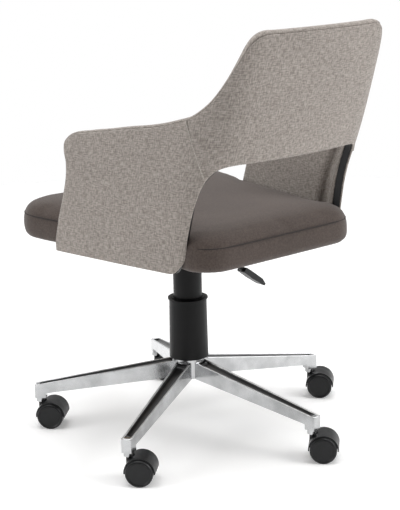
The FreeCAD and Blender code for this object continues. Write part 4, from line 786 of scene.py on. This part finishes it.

# Seam cord: the border's cloth round a thin core, coloured much darker than that cloth as painted shade for
# the seam's crease, and darker still where its bump is low, painted shade in its dips.
seam_cord_painted_shade, tree, shader = new_material("corded_seam_painted_shade", Roughness=0.85)
place = add(tree, "ShaderNodeTexCoord").outputs["Object"]
# the dark colours are painted crease shade; the noise that sinks the bump also darkens it, painted shade
colour, painted_relief_shading = mottle(tree, place, 420.0, hex_colour("#241E1D"), hex_colour("#2E2725"))
bump = add(tree, "ShaderNodeBump", {"Height": painted_relief_shading, "Strength": 0.3, "Distance": 0.0004})
tree.links.new(colour, shader.inputs["Base Color"])
tree.links.new(bump.outputs["Normal"], shader.inputs["Normal"])
corded("seat_seam_cord", path, SEAT_CORD, seam_cord_painted_shade, "seat", True)

# ---------------------------------------------------------------- shell seams
# Felled seams run slantwise down the outer cover where each arm's cloth meets the back's.

# Bonded thread over the folded cloth: a shade lighter than the weave as a painted highlight along the
# seam's ridge, slightly glossy.
seam_thread_painted_highlight, tree, shader = new_material("felled_seam_painted_highlight", Roughness=0.6)
place = add(tree, "ShaderNodeTexCoord").outputs["Object"]
# lighter colours are the ridge's painted highlight; the noise that raises the bump also lightens it
colour, painted_relief_shading = mottle(tree, place, 500.0, hex_colour("#8C857E"), hex_colour("#B4AEA6"))
bump = add(tree, "ShaderNodeBump", {"Height": painted_relief_shading, "Strength": 0.3, "Distance": 0.0004})
tree.links.new(colour, shader.inputs["Base Color"])
tree.links.new(bump.outputs["Normal"], shader.inputs["Normal"])

# each seam's ends: degrees off straight back, height
SEAM_TOP, SEAM_FOOT, SEAM_STEPS, COVER_CORD = (84.0, 0.650), (47.0, 0.550), 14, 0.0012

for side, name in ((1, "left"), (-1, "right")):
    route = []
    for step in range(SEAM_STEPS + 1):
        share = step / SEAM_STEPS
        across = on_corner(SEAM_TOP[0] + (SEAM_FOOT[0] - SEAM_TOP[0]) * share)
        height = SEAM_TOP[1] + (SEAM_FOOT[1] - SEAM_TOP[1]) * share
        route.append(wall_spot(side * across, height, -COVER_CORD))
    corded(f"cover_seam_{name}", route, COVER_CORD, seam_thread_painted_highlight, "seat")

# ---------------------------------------------------------------- floor, light and camera
# Plain pale floor under three soft boxes: one beside the camera towards the chair's right rear,
# one at its left side and a wide one overhead.

FLOOR_RADIUS = 2.4

floor_paint, tree, shader = new_material("pale_floor_paint", Roughness=0.7, Emission_Strength=0.14,
                                         Emission_Color=(1.0, 1.0, 1.0, 1.0))
place = add(tree, "ShaderNodeTexCoord").outputs["Object"]
colour, _ = mottle(tree, place, 3.0, hex_colour("#FAFAFA"), hex_colour("#FCFCFC"))
tree.links.new(colour, shader.inputs["Base Color"])
shape = bmesh.new()
bmesh.ops.create_circle(shape, segments=96, radius=FLOOR_RADIUS, cap_ends=True)
mesh = bpy.data.meshes.new("studio_floor")
shape.to_mesh(mesh)
shape.free()
mesh.materials.append(floor_paint)
floor = bpy.data.objects.new("studio_floor", mesh)
bpy.context.scene.collection.objects.link(floor)

# The room is bright all round but dim behind the camera, so that the corner facing it is shaded
# and the polished arms have something dark to mirror. Seen past the floor it is plain white.
TOWARDS_CAMERA = (0.64, 0.71, 0.28)
world = bpy.data.worlds.new("studio")
world.use_nodes = True
tree = world.node_tree
toward = add(tree, "ShaderNodeVectorMath", {0: add(tree, "ShaderNodeTexCoord").outputs["Generated"],
                                            1: TOWARDS_CAMERA}, operation="DOT_PRODUCT")
dimmed = add(tree, "ShaderNodeMapRange", {"Value": toward.outputs["Value"], "From Min": 0.2, "From Max": 0.95,
                                          "To Min": 0.62, "To Max": 0.16})
seen = add(tree, "ShaderNodeLightPath").outputs["Is Camera Ray"]
level = add(tree, "ShaderNodeMix", {0: seen, 2: dimmed.outputs["Result"], 3: 1.0}, data_type="FLOAT")
tree.links.new(level.outputs[0], tree.nodes["Background"].inputs["Strength"])
tree.nodes["Background"].inputs["Color"].default_value = hex_colour("#FFFFFF")
bpy.context.scene.world = world


def soft_light(name, spot, aim, size, power):
    """A square soft box turned to face a place."""
    lamp = bpy.data.lights.new(name, "AREA")
    lamp.size = size
    lamp.energy = power
    box = bpy.data.objects.new(name, lamp)
    box.location = spot
    box.rotation_euler = (Vector(aim) - Vector(spot)).to_track_quat("-Z", "Y").to_euler()
    bpy.context.scene.collection.objects.link(box)


soft_light("rear_box", (-1.6, 2.6, 1.9), (0.0, 0.1, 0.5), 1.6, 56.0)
soft_light("side_box", (2.9, -1.3, 1.7), (0.0, 0.0, 0.5), 1.6, 34.0)
soft_light("top_box", (0.0, 0.1, 3.4), (0.0, 0.1, 0.4), 3.0, 85.0)

lens = bpy.data.cameras.new("studio_camera")
lens.sensor_width = 36.0
lens.sensor_fit = "AUTO"
lens.lens = 101.73
lens.shift_x = -0.0784
camera = bpy.data.objects.new("studio_camera", lens)
camera.location = (1.6936, 2.0184, 1.0329)
right, up, back = (-0.73886, 0.67375, -0.01198), (-0.18024, -0.18046, 0.96693), (0.64930, 0.71659, 0.25477)
camera.rotation_euler = Matrix((right, up, back)).transposed().to_euler()
bpy.context.scene.collection.objects.link(camera)
bpy.context.scene.camera = camera
bpy.context.scene.view_settings.view_transform = "Standard"
